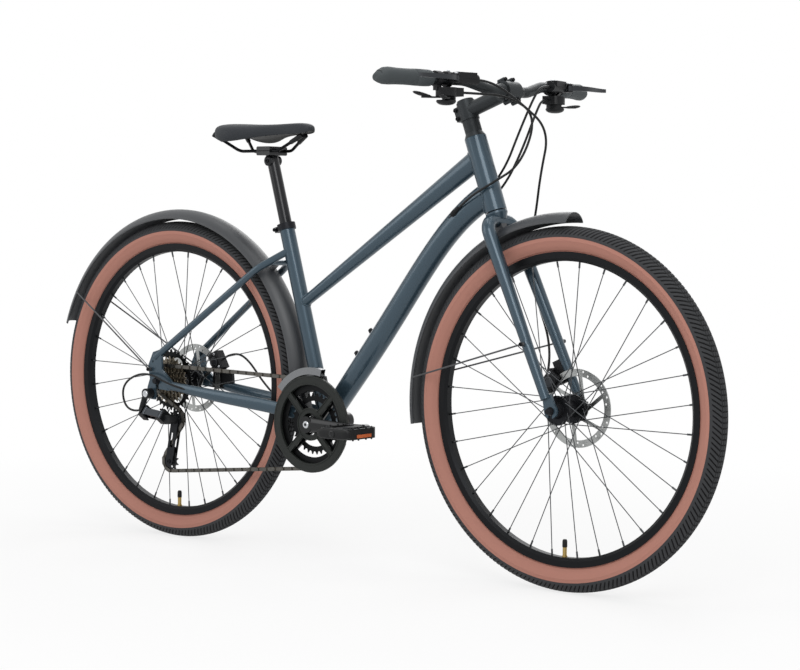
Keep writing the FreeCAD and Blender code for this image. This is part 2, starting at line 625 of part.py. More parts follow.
def rotor(centre, y):
    """Brake rotor: slotted track on six swept arms."""
    start = y - ROTOR_THICKNESS / 2
    end = y + ROTOR_THICKNESS / 2
    at_start = centre + SIDE * start
    at_end = centre + SIDE * end
    disc = ring(ROTOR_RADIUS, ROTOR_RADIUS - ROTOR_TRACK, at_start, at_end)
    disc = disc.fuse(ring(ROTOR_BORE + 10, ROTOR_BORE, at_start, at_end))
    slots = []
    for i in range(6):
        angle = math.pi * i / 3
        inner = polar(Vector(0, 0, 0), ROTOR_BORE + 8, angle)
        outer = polar(Vector(0, 0, 0), ROTOR_RADIUS - ROTOR_TRACK + 3, angle + 0.45)
        along = (outer - inner).normalize()
        width = along.cross(SIDE) * 4
        corners = [inner - width, outer - width, outer + width, inner + width]
        disc = disc.fuse(plate([(p.x, p.z) for p in corners], start, end, centre))
        for j, spread in enumerate((0.18, 0.36, 0.54, 0.72)):
            radius = ROTOR_RADIUS - ROTOR_TRACK * (0.32 if j % 2 else 0.68)
            slot_centre = polar(centre, radius, angle + spread)
            slots.append(cylinder(2.2, slot_centre + SIDE * (start - 1), slot_centre + SIDE * (end + 1)))
    bore = cylinder(ROTOR_BORE, at_start, at_end)
    return disc.cut(Part.makeCompound(slots)).cut(bore)


FRONT_AXLE = front(0, 0, 0)
REAR_AXLE = rear(0, 0, 0)
FRONT_ROTOR_Y = FRONT_HUB_WIDTH / 2 - FRONT_ROTOR_INSET
REAR_ROTOR_Y = REAR_HUB_WIDTH / 2 - REAR_ROTOR_INSET
SPROCKET_Y = [CHAIN_LINE + (i - CHAIN_SPROCKET) * SPROCKET_SPACING for i in range(len(SPROCKET_TEETH))]
CASSETTE_INNER = SPROCKET_Y[-1] + 3.0
REAR_RIGHT_FLANGE = CASSETTE_INNER + 6.0
front_end = FRONT_HUB_WIDTH / 2 - LOCKNUT_WIDTH - SIDE_CLEARANCE
rear_end = REAR_HUB_WIDTH / 2 - LOCKNUT_WIDTH - SIDE_CLEARANCE
front_hub = hub(FRONT_AXLE, FRONT_LEFT_FLANGE, FRONT_RIGHT_FLANGE, front_end, -front_end, FRONT_ROTOR_Y,
                FRONT_AXLE_RADIUS + RUNNING_CLEARANCE)
rear_hub = hub(REAR_AXLE, REAR_LEFT_FLANGE, REAR_RIGHT_FLANGE, rear_end, CASSETTE_INNER + SIDE_CLEARANCE,
               REAR_ROTOR_Y,
               REAR_AXLE_RADIUS + RUNNING_CLEARANCE)
keep("front_hub", front_hub)
keep("front_spokes", *spokes(FRONT_AXLE, FRONT_LEFT_FLANGE, FRONT_RIGHT_FLANGE))
keep("front_rim", rim(FRONT_AXLE))
keep("front_tyre", tyre(FRONT_AXLE))
keep("front_inner_tube", inner_tube(FRONT_AXLE))
keep("front_rotor", rotor(FRONT_AXLE, FRONT_ROTOR_Y))
keep("rear_hub", rear_hub)
keep("rear_spokes", *spokes(REAR_AXLE, REAR_LEFT_FLANGE, REAR_RIGHT_FLANGE))
keep("rear_rim", rim(REAR_AXLE))
keep("rear_tyre", tyre(REAR_AXLE))
keep("rear_inner_tube", inner_tube(REAR_AXLE))
keep("rear_rotor", rotor(REAR_AXLE, REAR_ROTOR_Y))

# Axles with locknuts, and quick release levers on the left
QR_HEAD_RADIUS = 8.5
QR_HEAD_LENGTH = 16.0
QR_PIN_RADIUS = 3.0
QR_LEVER_LENGTH = 62.0
QR_PIN_AHEAD = QR_HEAD_LENGTH / 2 + 1


def axle(centre, radius, hub_width, dropout):
    """Axle with two locknuts, an outer nut on the right and the lever's head on the left."""
    half = hub_width / 2
    outer = half + dropout
    body = cylinder(radius, centre - SIDE * (outer + 1), centre + SIDE * (outer + 1))
    for sign in (-1, 1):
        nut = cylinder(LOCKNUT_RADIUS, centre + SIDE * (sign * (half - LOCKNUT_WIDTH)),
                       centre + SIDE * (sign * half))
        body = body.fuse(nut)
    body = body.fuse(cone(LOCKNUT_RADIUS, LOCKNUT_RADIUS - 3, centre - SIDE * outer,
                          centre - SIDE * (outer + 10)))
    body = body.fuse(cylinder(QR_HEAD_RADIUS, centre + SIDE * outer,
                              centre + SIDE * (outer + QR_HEAD_LENGTH)))
    pin = centre + SIDE * (outer + QR_PIN_AHEAD)
    return body.fuse(cylinder(QR_PIN_RADIUS, pin - UP * 13, pin + UP * 13)), pin


def quick_release(pin):
    """Cam lever: two ears on the pin and a blade that points to the rear when closed."""
    lever = None
    start = math.hypot(QR_HEAD_RADIUS, QR_PIN_AHEAD) + FREE_CLEARANCE
    for low in (QR_HEAD_RADIUS + FREE_CLEARANCE, -QR_HEAD_RADIUS - FREE_CLEARANCE - 3):
        ear = cylinder(6.5, pin + UP * low, pin + UP * (low + 3))
        arm = Part.makeBox(start + 4, 7, 3, pin + Vector(-start - 4, -3.5, low))
        ear = ear.fuse(arm)
        lever = lever.fuse(ear) if lever else ear
    height = 2 * (QR_HEAD_RADIUS + FREE_CLEARANCE + 3)
    blade = [oval(pin + Vector(-start, 0, 0), Vector(-1, 0, 0), 7, height),
             oval(pin + Vector(-start - 0.4 * QR_LEVER_LENGTH, 2, 0), Vector(-1, 0, 0), 6, height - 4),
             oval(pin + Vector(-QR_LEVER_LENGTH, 5, 0), Vector(-1, 0, 0), 5, height - 9)]
    lever = lever.fuse(Part.makeLoft(blade, True))
    return lever.cut(cylinder(QR_PIN_RADIUS + RUNNING_CLEARANCE, pin - UP * 20, pin + UP * 20))


FORK_DROPOUT_THICKNESS = 7.0
front_axle, front_pin = axle(FRONT_AXLE, FRONT_AXLE_RADIUS, FRONT_HUB_WIDTH, FORK_DROPOUT_THICKNESS)
rear_axle, rear_pin = axle(REAR_AXLE, REAR_AXLE_RADIUS, REAR_HUB_WIDTH, DROPOUT_THICKNESS)
keep("front_axle", front_axle)
keep("rear_axle", rear_axle)
keep("front_qr_lever", quick_release(front_pin))
keep("rear_qr_lever", quick_release(rear_pin))

# Fork: steerer, crown and two straight tapered legs with slotted tips
crown_line = FORK_LENGTH - CROWN_HEIGHT + FORK_LEG_RADIUS
STEM_START = HEAD_END + SIDE_CLEARANCE + SPACER_STACK
STEM_TOP = STEM_START + STEM_CLAMP_HEIGHT
leg_knee = steer(crown_line, 0, -FORK_LEG_Y)
leg_tip = front(0, -FORK_TIP_Y, 0)
leg_direction = (leg_tip - leg_knee).normalize()
leg_taper = leg_knee + leg_direction * 90
leg_end = leg_tip - leg_direction * 26
upper_leg = rod([steer(crown_line, 0, 0), leg_knee, leg_taper], FORK_LEG_RADIUS, [FORK_BEND_RADIUS])
lower_leg = cone(FORK_LEG_RADIUS, FORK_TIP_RADIUS, leg_taper, leg_end)
tip_inner = -FRONT_HUB_WIDTH / 2
tip_outer = tip_inner - FORK_DROPOUT_THICKNESS
tip_round = cylinder(15, front(0, tip_outer, 0), front(0, tip_inner, 0))
tip_edge = [(-15, 0), (15, 0), (leg_end.x - FRONT_X + 10, 34), (leg_end.x - FRONT_X - 10, 34)]
tip_plate = plate(tip_edge, tip_outer, tip_inner, FRONT_AXLE).fuse(tip_round)
tip_gap = FRONT_AXLE_RADIUS + RUNNING_CLEARANCE
tip_slot = plate([(-tip_gap, 0), (tip_gap, 0), (tip_gap, -30), (-tip_gap, -30)], tip_outer - 1,
                 tip_inner + 1, FRONT_AXLE)
tip_hole = cylinder(tip_gap, front(0, tip_outer - 1, 0), front(0, tip_inner + 1, 0))
locknut_room = cylinder(LOCKNUT_RADIUS + 2, front(0, tip_inner, 0), front(0, tip_inner + 30, 0))
nut_room = cylinder(LOCKNUT_RADIUS + 3, front(0, tip_outer - 30, 0), front(0, tip_outer, 0))
right_leg = upper_leg.fuse(lower_leg).fuse(tip_plate)
for cutter in (tip_slot, tip_hole, locknut_room, nut_room):
    right_leg = right_leg.cut(cutter)
crown = cone(FORK_LEG_RADIUS + 3, HEAD_TUBE_RADIUS, steer(crown_line, 0, 0), steer(FORK_LENGTH - 4, 0, 0))
crown = crown.fuse(cylinder(HEAD_TUBE_RADIUS, steer(FORK_LENGTH - 4, 0, 0), steer(FORK_LENGTH, 0, 0)))
race = cylinder(STEERER_RADIUS + 2, steer(FORK_LENGTH, 0, 0),
                steer(FORK_LENGTH + HEADSET_GAP - SIDE_CLEARANCE, 0, 0))
steerer = cylinder(STEERER_RADIUS, steer(crown_line, 0, 0), steer(STEM_TOP - 3, 0, 0))
steerer_bore = cylinder(STEERER_RADIUS - 2, steer(FORK_LENGTH + 10, 0, 0), steer(STEM_TOP, 0, 0))
fork = right_leg.fuse(mirror(right_leg)).fuse(crown).fuse(race).fuse(steerer).cut(steerer_bore)
keep("fork", fork)

# Stem with headset cover, spacers, split bar clamp and top cap
stem_middle = (STEM_START + STEM_TOP) / 2
bar_centre = steer(stem_middle, STEM_LENGTH, 0)
cover_start = HEAD_END + SIDE_CLEARANCE
COVER_HEIGHT = 10.0
cover = cone(HEAD_TUBE_RADIUS, SPACER_RADIUS, steer(cover_start, 0, 0),
             steer(cover_start + COVER_HEIGHT, 0, 0))
steerer_space = cylinder(STEERER_RADIUS, steer(HEAD_END, 0, 0), steer(STEM_TOP + 20, 0, 0))
stem_pieces = [cover.cut(steerer_space)]
SPACER_COUNT = 3
spacer_height = (SPACER_STACK - COVER_HEIGHT) / SPACER_COUNT
for i in range(SPACER_COUNT):
    base = cover_start + COVER_HEIGHT + i * spacer_height
    stem_pieces.append(ring(SPACER_RADIUS, STEERER_RADIUS, steer(base, 0, 0),
                            steer(base + spacer_height, 0, 0)))
stem_body = cylinder(STEERER_RADIUS + 5.5, steer(STEM_START, 0, 0), steer(STEM_TOP, 0, 0))
stem_body = stem_body.fuse(cylinder(STEM_RADIUS, steer(stem_middle, 0, 0), bar_centre))
stem_body = stem_body.fuse(block(steer(stem_middle, -STEERER_RADIUS - 6, 0), STEER_FORWARD, SIDE, 12, 22,
                                 30))
clamp_shell = cylinder(BAR_CLAMP_RADIUS + 5, bar_centre - SIDE * (BAR_CLAMP_WIDTH / 2),
                       bar_centre + SIDE * (BAR_CLAMP_WIDTH / 2))
bar_space = cylinder(BAR_CLAMP_RADIUS, bar_centre - SIDE * BAR_CLAMP_WIDTH,
                     bar_centre + SIDE * BAR_CLAMP_WIDTH)
stem_body = stem_body.fuse(clamp_shell).cut(bar_space).cut(steerer_space)
split = block(bar_centre, STEER_FORWARD, SIDE, 2.0, 80, 70)
stem_pieces.append(stem_body.cut(split))
TOP_CAP_HEIGHT = 4.0
stem_pieces.append(cylinder(STEERER_RADIUS + 3, steer(STEM_TOP, 0, 0),
                            steer(STEM_TOP + TOP_CAP_HEIGHT, 0, 0)))
keep("stem", *stem_pieces)

# Handlebar: butted riser bar, swept back
bar_end = bar_centre + Vector(-BAR_SWEEP, -BAR_HALF_WIDTH, BAR_RISE)
bar_knee = bar_centre + Vector(-0.22 * BAR_SWEEP, -0.38 * BAR_HALF_WIDTH, BAR_RISE)
bar_root = bar_centre + Vector(0, -0.18 * BAR_HALF_WIDTH, 0)


def other_side(point):
    return Vector(point.x, -point.y, point.z)


bar_points = [bar_end, bar_knee, bar_root, other_side(bar_root), other_side(bar_knee), other_side(bar_end)]
BAR_BENDS = [120.0, 90.0, 90.0, 120.0]
bar_swell = cylinder(BAR_CLAMP_RADIUS, bar_centre - SIDE * (BAR_CLAMP_WIDTH / 2 + 3),
                     bar_centre + SIDE * (BAR_CLAMP_WIDTH / 2 + 3))
bar = rod(bar_points, BAR_RADIUS, BAR_BENDS).fuse(bar_swell)
for sign in (-1, 1):
    shoulder = bar_centre + SIDE * (sign * (BAR_CLAMP_WIDTH / 2 + 3))
    bar = bar.fuse(cone(BAR_CLAMP_RADIUS, BAR_RADIUS, shoulder, shoulder + SIDE * (sign * 18)))
bar = bar.cut(rod(bar_points, BAR_RADIUS - BAR_WALL, BAR_BENDS))
keep("handlebar", bar)

# Grips, brake levers and shifters sit along the straight outer part of the bar
BAR_INWARD = (bar_knee - bar_end).normalize()
BAR_UP = (UP - BAR_INWARD * UP.dot(BAR_INWARD)).normalize()
BAR_FORWARD = BAR_INWARD.cross(BAR_UP)


def on_bar(inward, forward, rise):
    """Point on the right half of the bar, measured from its end."""
    return bar_end + BAR_INWARD * inward + BAR_FORWARD * forward + BAR_UP * rise


bar_core = cylinder(BAR_RADIUS, on_bar(-1, 0, 0), on_bar(240, 0, 0))
grip = cylinder(GRIP_RADIUS, on_bar(0, 0, 0), on_bar(GRIP_LENGTH, 0, 0)).cut(bar_core)
grip_end = cone(GRIP_RADIUS - 4, GRIP_RADIUS + 2, on_bar(-6, 0, 0), on_bar(0, 0, 0))
grip_flare = cone(GRIP_RADIUS + 2, GRIP_RADIUS, on_bar(0, 0, 0), on_bar(24, 0, 0)).cut(bar_core)
right_grip = grip.fuse(grip_flare).fuse(grip_end).cut(cylinder(BAR_RADIUS, on_bar(0, 0, 0),
                                                               on_bar(GRIP_LENGTH, 0, 0)))
keep("grips", right_grip, mirror(right_grip))

SHIFT_CLAMP = GRIP_LENGTH + 10.0
BRAKE_CLAMP = SHIFT_CLAMP + 26.0
CONTROL_CLAMP_WIDTH = 12.0
LEVER_PIVOT_FORWARD = 40.0
LEVER_PIN_RADIUS = 2.5
LEVER_EYE = 6.0
LEVER_HEIGHT = 11.0
LEVER_LENGTH = 118.0
LEVER_REACH = 66.0
lever_pivot = BRAKE_CLAMP - 4.0
brake_ring = ring(BAR_RADIUS + 4.5, BAR_RADIUS, on_bar(BRAKE_CLAMP, 0, 0),
                  on_bar(BRAKE_CLAMP + CONTROL_CLAMP_WIDTH, 0, 0))
reservoir = cylinder(10.5, on_bar(BRAKE_CLAMP - 2, 27, 0), on_bar(BRAKE_CLAMP + 62, 25, 0))
reservoir = reservoir.fuse(block(on_bar(BRAKE_CLAMP + 30, 27, 7), BAR_INWARD, BAR_FORWARD, 48, 20, 12))
brake_web = block(on_bar(BRAKE_CLAMP + CONTROL_CLAMP_WIDTH / 2, 18, 0), BAR_INWARD, BAR_FORWARD,
                  CONTROL_CLAMP_WIDTH, 12, 16)
brake_body = brake_ring.fuse(reservoir).fuse(brake_web).cut(cylinder(BAR_RADIUS,
                                                                     on_bar(BRAKE_CLAMP - 30, 0,
                                                                            0), on_bar(BRAKE_CLAMP + 90, 0,
                                                                                       0)))
ear_gap = LEVER_HEIGHT / 2 + SIDE_CLEARANCE
for low in (ear_gap, -ear_gap - 3):
    lug = cylinder(7, on_bar(lever_pivot, LEVER_PIVOT_FORWARD, low),
                   on_bar(lever_pivot, LEVER_PIVOT_FORWARD, low + 3))
    lug = lug.fuse(block(on_bar(lever_pivot + 5, LEVER_PIVOT_FORWARD - 8, low + 1.5), BAR_FORWARD,
                         BAR_INWARD, 20, 12, 3))
    brake_body = brake_body.fuse(lug)
lever_room = cylinder(LEVER_EYE + 3, on_bar(lever_pivot, LEVER_PIVOT_FORWARD, -ear_gap),
                      on_bar(lever_pivot, LEVER_PIVOT_FORWARD, ear_gap))
lever_pin = cylinder(LEVER_PIN_RADIUS, on_bar(lever_pivot, LEVER_PIVOT_FORWARD, -ear_gap - 3),
                     on_bar(lever_pivot, LEVER_PIVOT_FORWARD, ear_gap + 3))
brake_body = brake_body.cut(lever_room).fuse(lever_pin)
keep("brake_lever_bodies", brake_body, mirror(brake_body))

eye = cylinder(LEVER_EYE, on_bar(lever_pivot, LEVER_PIVOT_FORWARD, -LEVER_HEIGHT / 2),
               on_bar(lever_pivot, LEVER_PIVOT_FORWARD, LEVER_HEIGHT / 2))
lever_line = [(lever_pivot - 2, LEVER_PIVOT_FORWARD), (lever_pivot - 0.3 * LEVER_LENGTH, LEVER_REACH - 4),
              (lever_pivot - 0.7 * LEVER_LENGTH, LEVER_REACH), (lever_pivot - LEVER_LENGTH,
                                                                LEVER_REACH + 6)]
lever_points = [on_bar(a, f, 0) for a, f in lever_line]
blade_wires = []
for i, point in enumerate(lever_points):
    heading = lever_points[min(i + 1, 3)] - lever_points[max(i - 1, 0)]
    flat = heading.cross(BAR_UP).normalize() * (2.8 if i else 4.0)
    tall = BAR_UP * (LEVER_HEIGHT / 2 - 0.6 * i)
    corners = [point - flat - tall, point + flat - tall, point + flat + tall, point - flat + tall]
    blade_wires.append(Part.makePolygon(corners + [corners[0]]))
brake_lever = Part.makeLoft(blade_wires, True).fuse(eye)
brake_lever = brake_lever.cut(cylinder(LEVER_PIN_RADIUS + RUNNING_CLEARANCE,
                                       on_bar(lever_pivot, LEVER_PIVOT_FORWARD, -20),
                                       on_bar(lever_pivot, LEVER_PIVOT_FORWARD, 20)))
keep("right_brake_lever", brake_lever)
keep("left_brake_lever", mirror(brake_lever))

POD_RADIUS = 21.0
POD_TOP = -17.0
POD_HEIGHT = 17.0
POD_FORWARD = 8.0
SHIFT_PIN_RADIUS = 3.0
PADDLE_THICKNESS = 3.0
pod_inward = SHIFT_CLAMP + 24.0
pod_floor = POD_TOP - POD_HEIGHT
pod = cylinder(POD_RADIUS, on_bar(pod_inward, POD_FORWARD, pod_floor),
               on_bar(pod_inward, POD_FORWARD, POD_TOP))
pod = pod.fuse(block(on_bar(pod_inward + 16, POD_FORWARD, pod_floor + POD_HEIGHT / 2), BAR_INWARD,
                     BAR_FORWARD, 36, 28, POD_HEIGHT))
shift_ring = ring(BAR_RADIUS + 4.5, BAR_RADIUS, on_bar(SHIFT_CLAMP, 0, 0),
                  on_bar(SHIFT_CLAMP + CONTROL_CLAMP_WIDTH, 0, 0))
shift_web = block(on_bar(SHIFT_CLAMP + CONTROL_CLAMP_WIDTH / 2, 2, -17), BAR_INWARD, BAR_FORWARD,
                  CONTROL_CLAMP_WIDTH, 12, 12)
shift_web = shift_web.cut(cylinder(BAR_RADIUS, on_bar(SHIFT_CLAMP - 20, 0, 0),
                                   on_bar(SHIFT_CLAMP + 40, 0, 0)))
thumb_top = pod_floor - FREE_CLEARANCE
release_top = thumb_top - PADDLE_THICKNESS - FREE_CLEARANCE
shift_pin = cylinder(SHIFT_PIN_RADIUS, on_bar(pod_inward, POD_FORWARD, release_top - PADDLE_THICKNESS - 1),
                     on_bar(pod_inward, POD_FORWARD, pod_floor + 2))
shift_head = cylinder(SHIFT_PIN_RADIUS + 2,
                      on_bar(pod_inward, POD_FORWARD, release_top - PADDLE_THICKNESS - 2.5),
                      on_bar(pod_inward, POD_FORWARD, release_top - PADDLE_THICKNESS - FREE_CLEARANCE))
shifter = shift_ring.fuse(shift_web).fuse(pod).fuse(shift_pin).fuse(shift_head)
keep("shifter_housings", shifter, mirror(shifter))


def paddle(top, reach, forward, width):
    """Flat shift lever: an eye on the pin and a curved paddle."""
    centre = (pod_inward, POD_FORWARD)
    eye = cylinder(8, on_bar(*centre, top - PADDLE_THICKNESS), on_bar(*centre, top))
    tip = (centre[0] - reach, centre[1] + forward)
    middle = (centre[0] - 0.5 * reach, centre[1] + 0.75 * forward)
    arm = None
    for first, last, size in ((centre, middle, width), (middle, tip, width + 2)):
        a = on_bar(*first, top - PADDLE_THICKNESS / 2)
        b = on_bar(*last, top - PADDLE_THICKNESS / 2)
        piece = block((a + b) * 0.5, b - a, BAR_UP.cross(b - a), (b - a).Length, size, PADDLE_THICKNESS)
        piece = piece.fuse(cylinder(size / 2, b - BAR_UP * (PADDLE_THICKNESS / 2),
                                    b + BAR_UP * (PADDLE_THICKNESS / 2)))
        arm = arm.fuse(piece) if arm else piece
    hole = cylinder(SHIFT_PIN_RADIUS + RUNNING_CLEARANCE, on_bar(*centre, top - 20),
                    on_bar(*centre, top + 20))
    return eye.fuse(arm).cut(hole)


thumb_lever = paddle(thumb_top, 34, -26, 11)
release_lever = paddle(release_top, 30, 30, 9)
keep("right_thumb_lever", thumb_lever)
keep("left_thumb_lever", mirror(thumb_lever))
keep("right_release_lever", release_lever)
keep("left_release_lever", mirror(release_lever))

# Mudguards: arched strips, their brackets and wire stays
WIRE_EYE_RADIUS = 4.5
WIRE_BOLT_RADIUS = 2.4
guard_edge = GUARD_RADIUS - GUARD_SAG


def guard(centre, start, end):
    """Arched strip over a wheel, from one angle to another."""
    angle = math.radians(start)
    half = GUARD_HALF_WIDTH
    inside = half - GUARD_THICKNESS
    lip_end = guard_edge - GUARD_LIP
    outer = [polar(centre, guard_edge, angle, -half), polar(centre, GUARD_RADIUS, angle),
             polar(centre, guard_edge, angle, half)]
    inner = [polar(centre, guard_edge, angle, inside), polar(centre, GUARD_RADIUS - GUARD_THICKNESS, angle),
             polar(centre, guard_edge, angle, -inside)]
    left_lip = [polar(centre, lip_end, angle, half), polar(centre, lip_end, angle, inside)]
    right_lip = [polar(centre, lip_end, angle, -inside), polar(centre, lip_end, angle, -half)]
    edges = [Part.Arc(*outer), Part.LineSegment(outer[2], left_lip[0]), Part.LineSegment(*left_lip),
             Part.LineSegment(left_lip[1], inner[0]), Part.Arc(*inner), Part.LineSegment(inner[2],
                                                                                         right_lip[0]),
             Part.LineSegment(*right_lip), Part.LineSegment(right_lip[1], outer[0])]
    face = Part.Face(Part.Wire([edge.toShape() for edge in edges]))
    return face.revolve(centre, Vector(0, -1, 0), end - start)


def wire_stay(eye_centre, guard_point):
    """Straight wire from an eye on its bolt to the edge of a mudguard, right side."""
    eye = cylinder(WIRE_EYE_RADIUS, eye_centre, eye_centre - SIDE * (4 * STAY_WIRE_RADIUS))
    start = eye_centre - SIDE * (3 * STAY_WIRE_RADIUS)
    return eye.fuse(cylinder(STAY_WIRE_RADIUS, start, guard_point))


front_guard = guard(FRONT_AXLE, FRONT_GUARD_TIP, FRONT_GUARD_TAIL)
rear_guard = guard(REAR_AXLE, REAR_GUARD_FRONT, REAR_GUARD_TAIL)

wire_y = -GUARD_HALF_WIDTH - STAY_WIRE_RADIUS
wire_reach = guard_edge - GUARD_LIP / 2
FRONT_STAY_ANGLE = math.radians(173.0)
REAR_STAY_ANGLE = math.radians(148.6)
FORK_EYELET_UP = 145.0
FORK_EYELET_Y = -67.0
FORK_EYELET_RADIUS = 5.0
eyelet_leg = leg_tip - leg_direction * FORK_EYELET_UP
eyelet_face = Vector(eyelet_leg.x, FORK_EYELET_Y, eyelet_leg.z)
eyelet_boss = cylinder(FORK_EYELET_RADIUS, eyelet_leg, eyelet_face)
PARTS["fork"] = Part.makeCompound(fork.fuse(eyelet_boss).fuse(mirror(eyelet_boss)).Solids)
front_wire = wire_stay(eyelet_face, polar(FRONT_AXLE, wire_reach, FRONT_STAY_ANGLE, wire_y))
crown_under = steer(GUARD_RADIUS + CROWN_GUARD_GAP / 2, 0, 0)
crown_angle = math.atan2(crown_under.z - FRONT_AXLE.z, crown_under.x - FRONT_AXLE.x)
clip_centre = polar(FRONT_AXLE, GUARD_RADIUS, crown_angle)
clip_out = (clip_centre - FRONT_AXLE).normalize()
guard_clip = block(clip_centre + clip_out * 4, clip_out, SIDE, 14, 18,
                   22).cut(PARTS["fork"]).cut(front_guard)
guard_clip = max(guard_clip.Solids, key=lambda solid: (solid.CenterOfMass - FRONT_AXLE).Length)
keep("front_mudguard", front_guard, front_wire, mirror(front_wire), guard_clip)

rear_eye = rear(-22, -DROPOUT_OUTER, 26)
rear_wire = wire_stay(rear_eye, polar(REAR_AXLE, wire_reach, REAR_STAY_ANGLE, wire_y))
rear_wire = rear_wire.fuse(cylinder(WIRE_BOLT_RADIUS, rear_eye, rear_eye + SIDE * DROPOUT_THICKNESS))
bridge_offset = stay_meeting - REAR_AXLE
bridge_angle = math.atan2(bridge_offset.z, bridge_offset.x)
bridge_reach = math.hypot(bridge_offset.x, bridge_offset.z)
UPPER_BRACKET_WIDTH = 16.0
UPPER_BRACKET_THICKNESS = 5.0
upper_bracket = block(polar(REAR_AXLE, (GUARD_RADIUS + bridge_reach) / 2, bridge_angle),
                      polar(Vector(0, 0, 0), 1,
                            bridge_angle), SIDE, bridge_reach - GUARD_RADIUS + GUARD_THICKNESS,
                      UPPER_BRACKET_WIDTH, UPPER_BRACKET_THICKNESS)
upper_bracket = upper_bracket.cut(stay_bridge_core).cut(rear_guard)
upper_bracket = max(upper_bracket.Solids, key=lambda solid: solid.Volume)
lower_bracket = plate([(GUARD_RADIUS - 4, -4), (GUARD_RADIUS + 3, -4), (GUARD_RADIUS + 15, -52),
                       (GUARD_RADIUS + 7, -52),
                       (GUARD_RADIUS - 4, -20)], -8, 8, REAR_AXLE)
lower_bracket = lower_bracket.cut(low_bridge_core).cut(rear_guard)
lower_bracket = max(lower_bracket.Solids, key=lambda solid: solid.Volume)
keep("rear_mudguard", rear_guard, rear_wire, mirror(rear_wire), upper_bracket, lower_bracket)

# Brake calipers: bridge over the rotor with two pads, bolted to fork leg and chainstay
REAR_CALIPER_ANGLE = math.radians(30.0)
FRONT_CALIPER_ANGLE = math.radians(142.0)
CALIPER_MIDDLE = ROTOR_RADIUS + 4.0
PAD_LENGTH = 26.0


def caliper(centre, rotor_y, angle):
    """Body straddling the rotor's edge and a pair of pads inside it."""
    out = polar(Vector(0, 0, 0), 1, angle)
    along = out.cross(SIDE)
    middle = polar(centre, CALIPER_MIDDLE, angle, rotor_y + (CALIPER_OUTER_HALF - CALIPER_INNER_HALF) / 2)
    width = CALIPER_INNER_HALF + CALIPER_OUTER_HALF
    body = block(middle, along, SIDE, CALIPER_LENGTH, width, CALIPER_HEIGHT)
    edges = [edge for edge in body.Edges if abs(edge.tangentAt(edge.FirstParameter).y) < 0.1]
    body = body.makeFillet(CALIPER_FILLET, edges)
    room = ROTOR_THICKNESS / 2 + PAD_GAP + PAD_THICKNESS
    gap = block(polar(centre, CALIPER_MIDDLE - 7, angle, rotor_y), along, SIDE, CALIPER_LENGTH + 2,
                2 * room, CALIPER_HEIGHT)
    pads = []
    for sign in (-1, 1):
        pad_centre = polar(centre, ROTOR_RADIUS - ROTOR_TRACK / 2, angle,
                           rotor_y + sign * (room - PAD_THICKNESS / 2))
        pads.append(block(pad_centre, along, SIDE, PAD_LENGTH, PAD_THICKNESS, ROTOR_TRACK))
    face = polar(centre, CALIPER_MIDDLE - 2, angle, rotor_y + CALIPER_OUTER_HALF)
    boss = cylinder(PISTON_RADIUS, face - SIDE * PISTON_STAND, face + SIDE * PISTON_STAND)
    return body.cut(gap).fuse(boss), pads


rear_caliper, rear_pads = caliper(REAR_AXLE, REAR_ROTOR_Y, REAR_CALIPER_ANGLE)
rear_post = plate([(52, 24), (112, 24), (116, -20), (48, -20)], 58.5, 65.5, REAR_AXLE)
rear_post = rear_post.cut(mirror(chainstay_core)).cut(rear_caliper)
rear_post = max(rear_post.Solids, key=lambda solid: solid.CenterOfMass.z)
keep("rear_caliper", rear_caliper, *rear_pads, rear_post)
front_caliper, front_pads = caliper(FRONT_AXLE, FRONT_ROTOR_Y, FRONT_CALIPER_ANGLE)
front_post = block(polar(FRONT_AXLE, CALIPER_MIDDLE + 2, FRONT_CALIPER_ANGLE - 0.3, FRONT_ROTOR_Y + 9.5),
                   leg_direction, SIDE, 50, 7, 20)
front_post = front_post.cut(PARTS["fork"]).cut(front_caliper)
front_post = max(front_post.Solids, key=lambda solid: solid.Volume)
keep("front_caliper", front_caliper, *front_pads, front_post)

# Seatpost with a two piece rail clamp, saddle rails and cushion
RAIL_DROP = 62.0
POST_BORE = 11.0
CLAMP_LENGTH = 40.0
CLAMP_HEIGHT = 20.0
rail_z = SADDLE_TOP - RAIL_DROP
post_reach = (rail_z - CLAMP_HEIGHT / 2 + 2 + BRACKET_DROP) / math.cos(SEAT_LEAN)
post_top = seat_line(post_reach)
clamp_centre = Vector(post_top.x, 0, TYRE_RADIUS + rail_z)


def saddle(x, y, z):
    """Point measured from the saddle's tail at rail height."""
    return rear(SADDLE_TAIL_X + x, y, rail_z + z)


rail_half = RAIL_SPACING / 2
rail_points = [saddle(0.86 * SADDLE_LENGTH, -9, 28), saddle(0.68 * SADDLE_LENGTH, -rail_half, 0),
               saddle(0.24 * SADDLE_LENGTH, -rail_half, 0), saddle(0.07 * SADDLE_LENGTH, -48, 32)]
right_rail = rod(rail_points, RAIL_RADIUS, [30, 30])
post = ring(SEATPOST_RADIUS, POST_BORE, seat_line(SEAT_TUBE_LENGTH - POST_INSERT), post_top)
clamp_body = Part.makeBox(CLAMP_LENGTH, RAIL_SPACING + 14, CLAMP_HEIGHT,
                          clamp_centre - Vector(CLAMP_LENGTH / 2, rail_half + 7, CLAMP_HEIGHT / 2))
clamp_edges = [edge for edge in clamp_body.Edges if abs(edge.tangentAt(edge.FirstParameter).y) > 0.9]
clamp_body = clamp_body.makeFillet(4, clamp_edges)
clamp_split = Part.makeBox(CLAMP_LENGTH + 2, RAIL_SPACING + 20, 1.5,
                           clamp_centre - Vector(CLAMP_LENGTH / 2 + 1, rail_half + 10, 0.75))
rail_space = [cylinder(RAIL_RADIUS, saddle(0.2 * SADDLE_LENGTH, s * rail_half, 0),
                       saddle(0.75 * SADDLE_LENGTH, s * rail_half, 0))
              for s in (-1, 1)]
halves = clamp_body.cut(clamp_split)
for space in rail_space:
    halves = halves.cut(space)
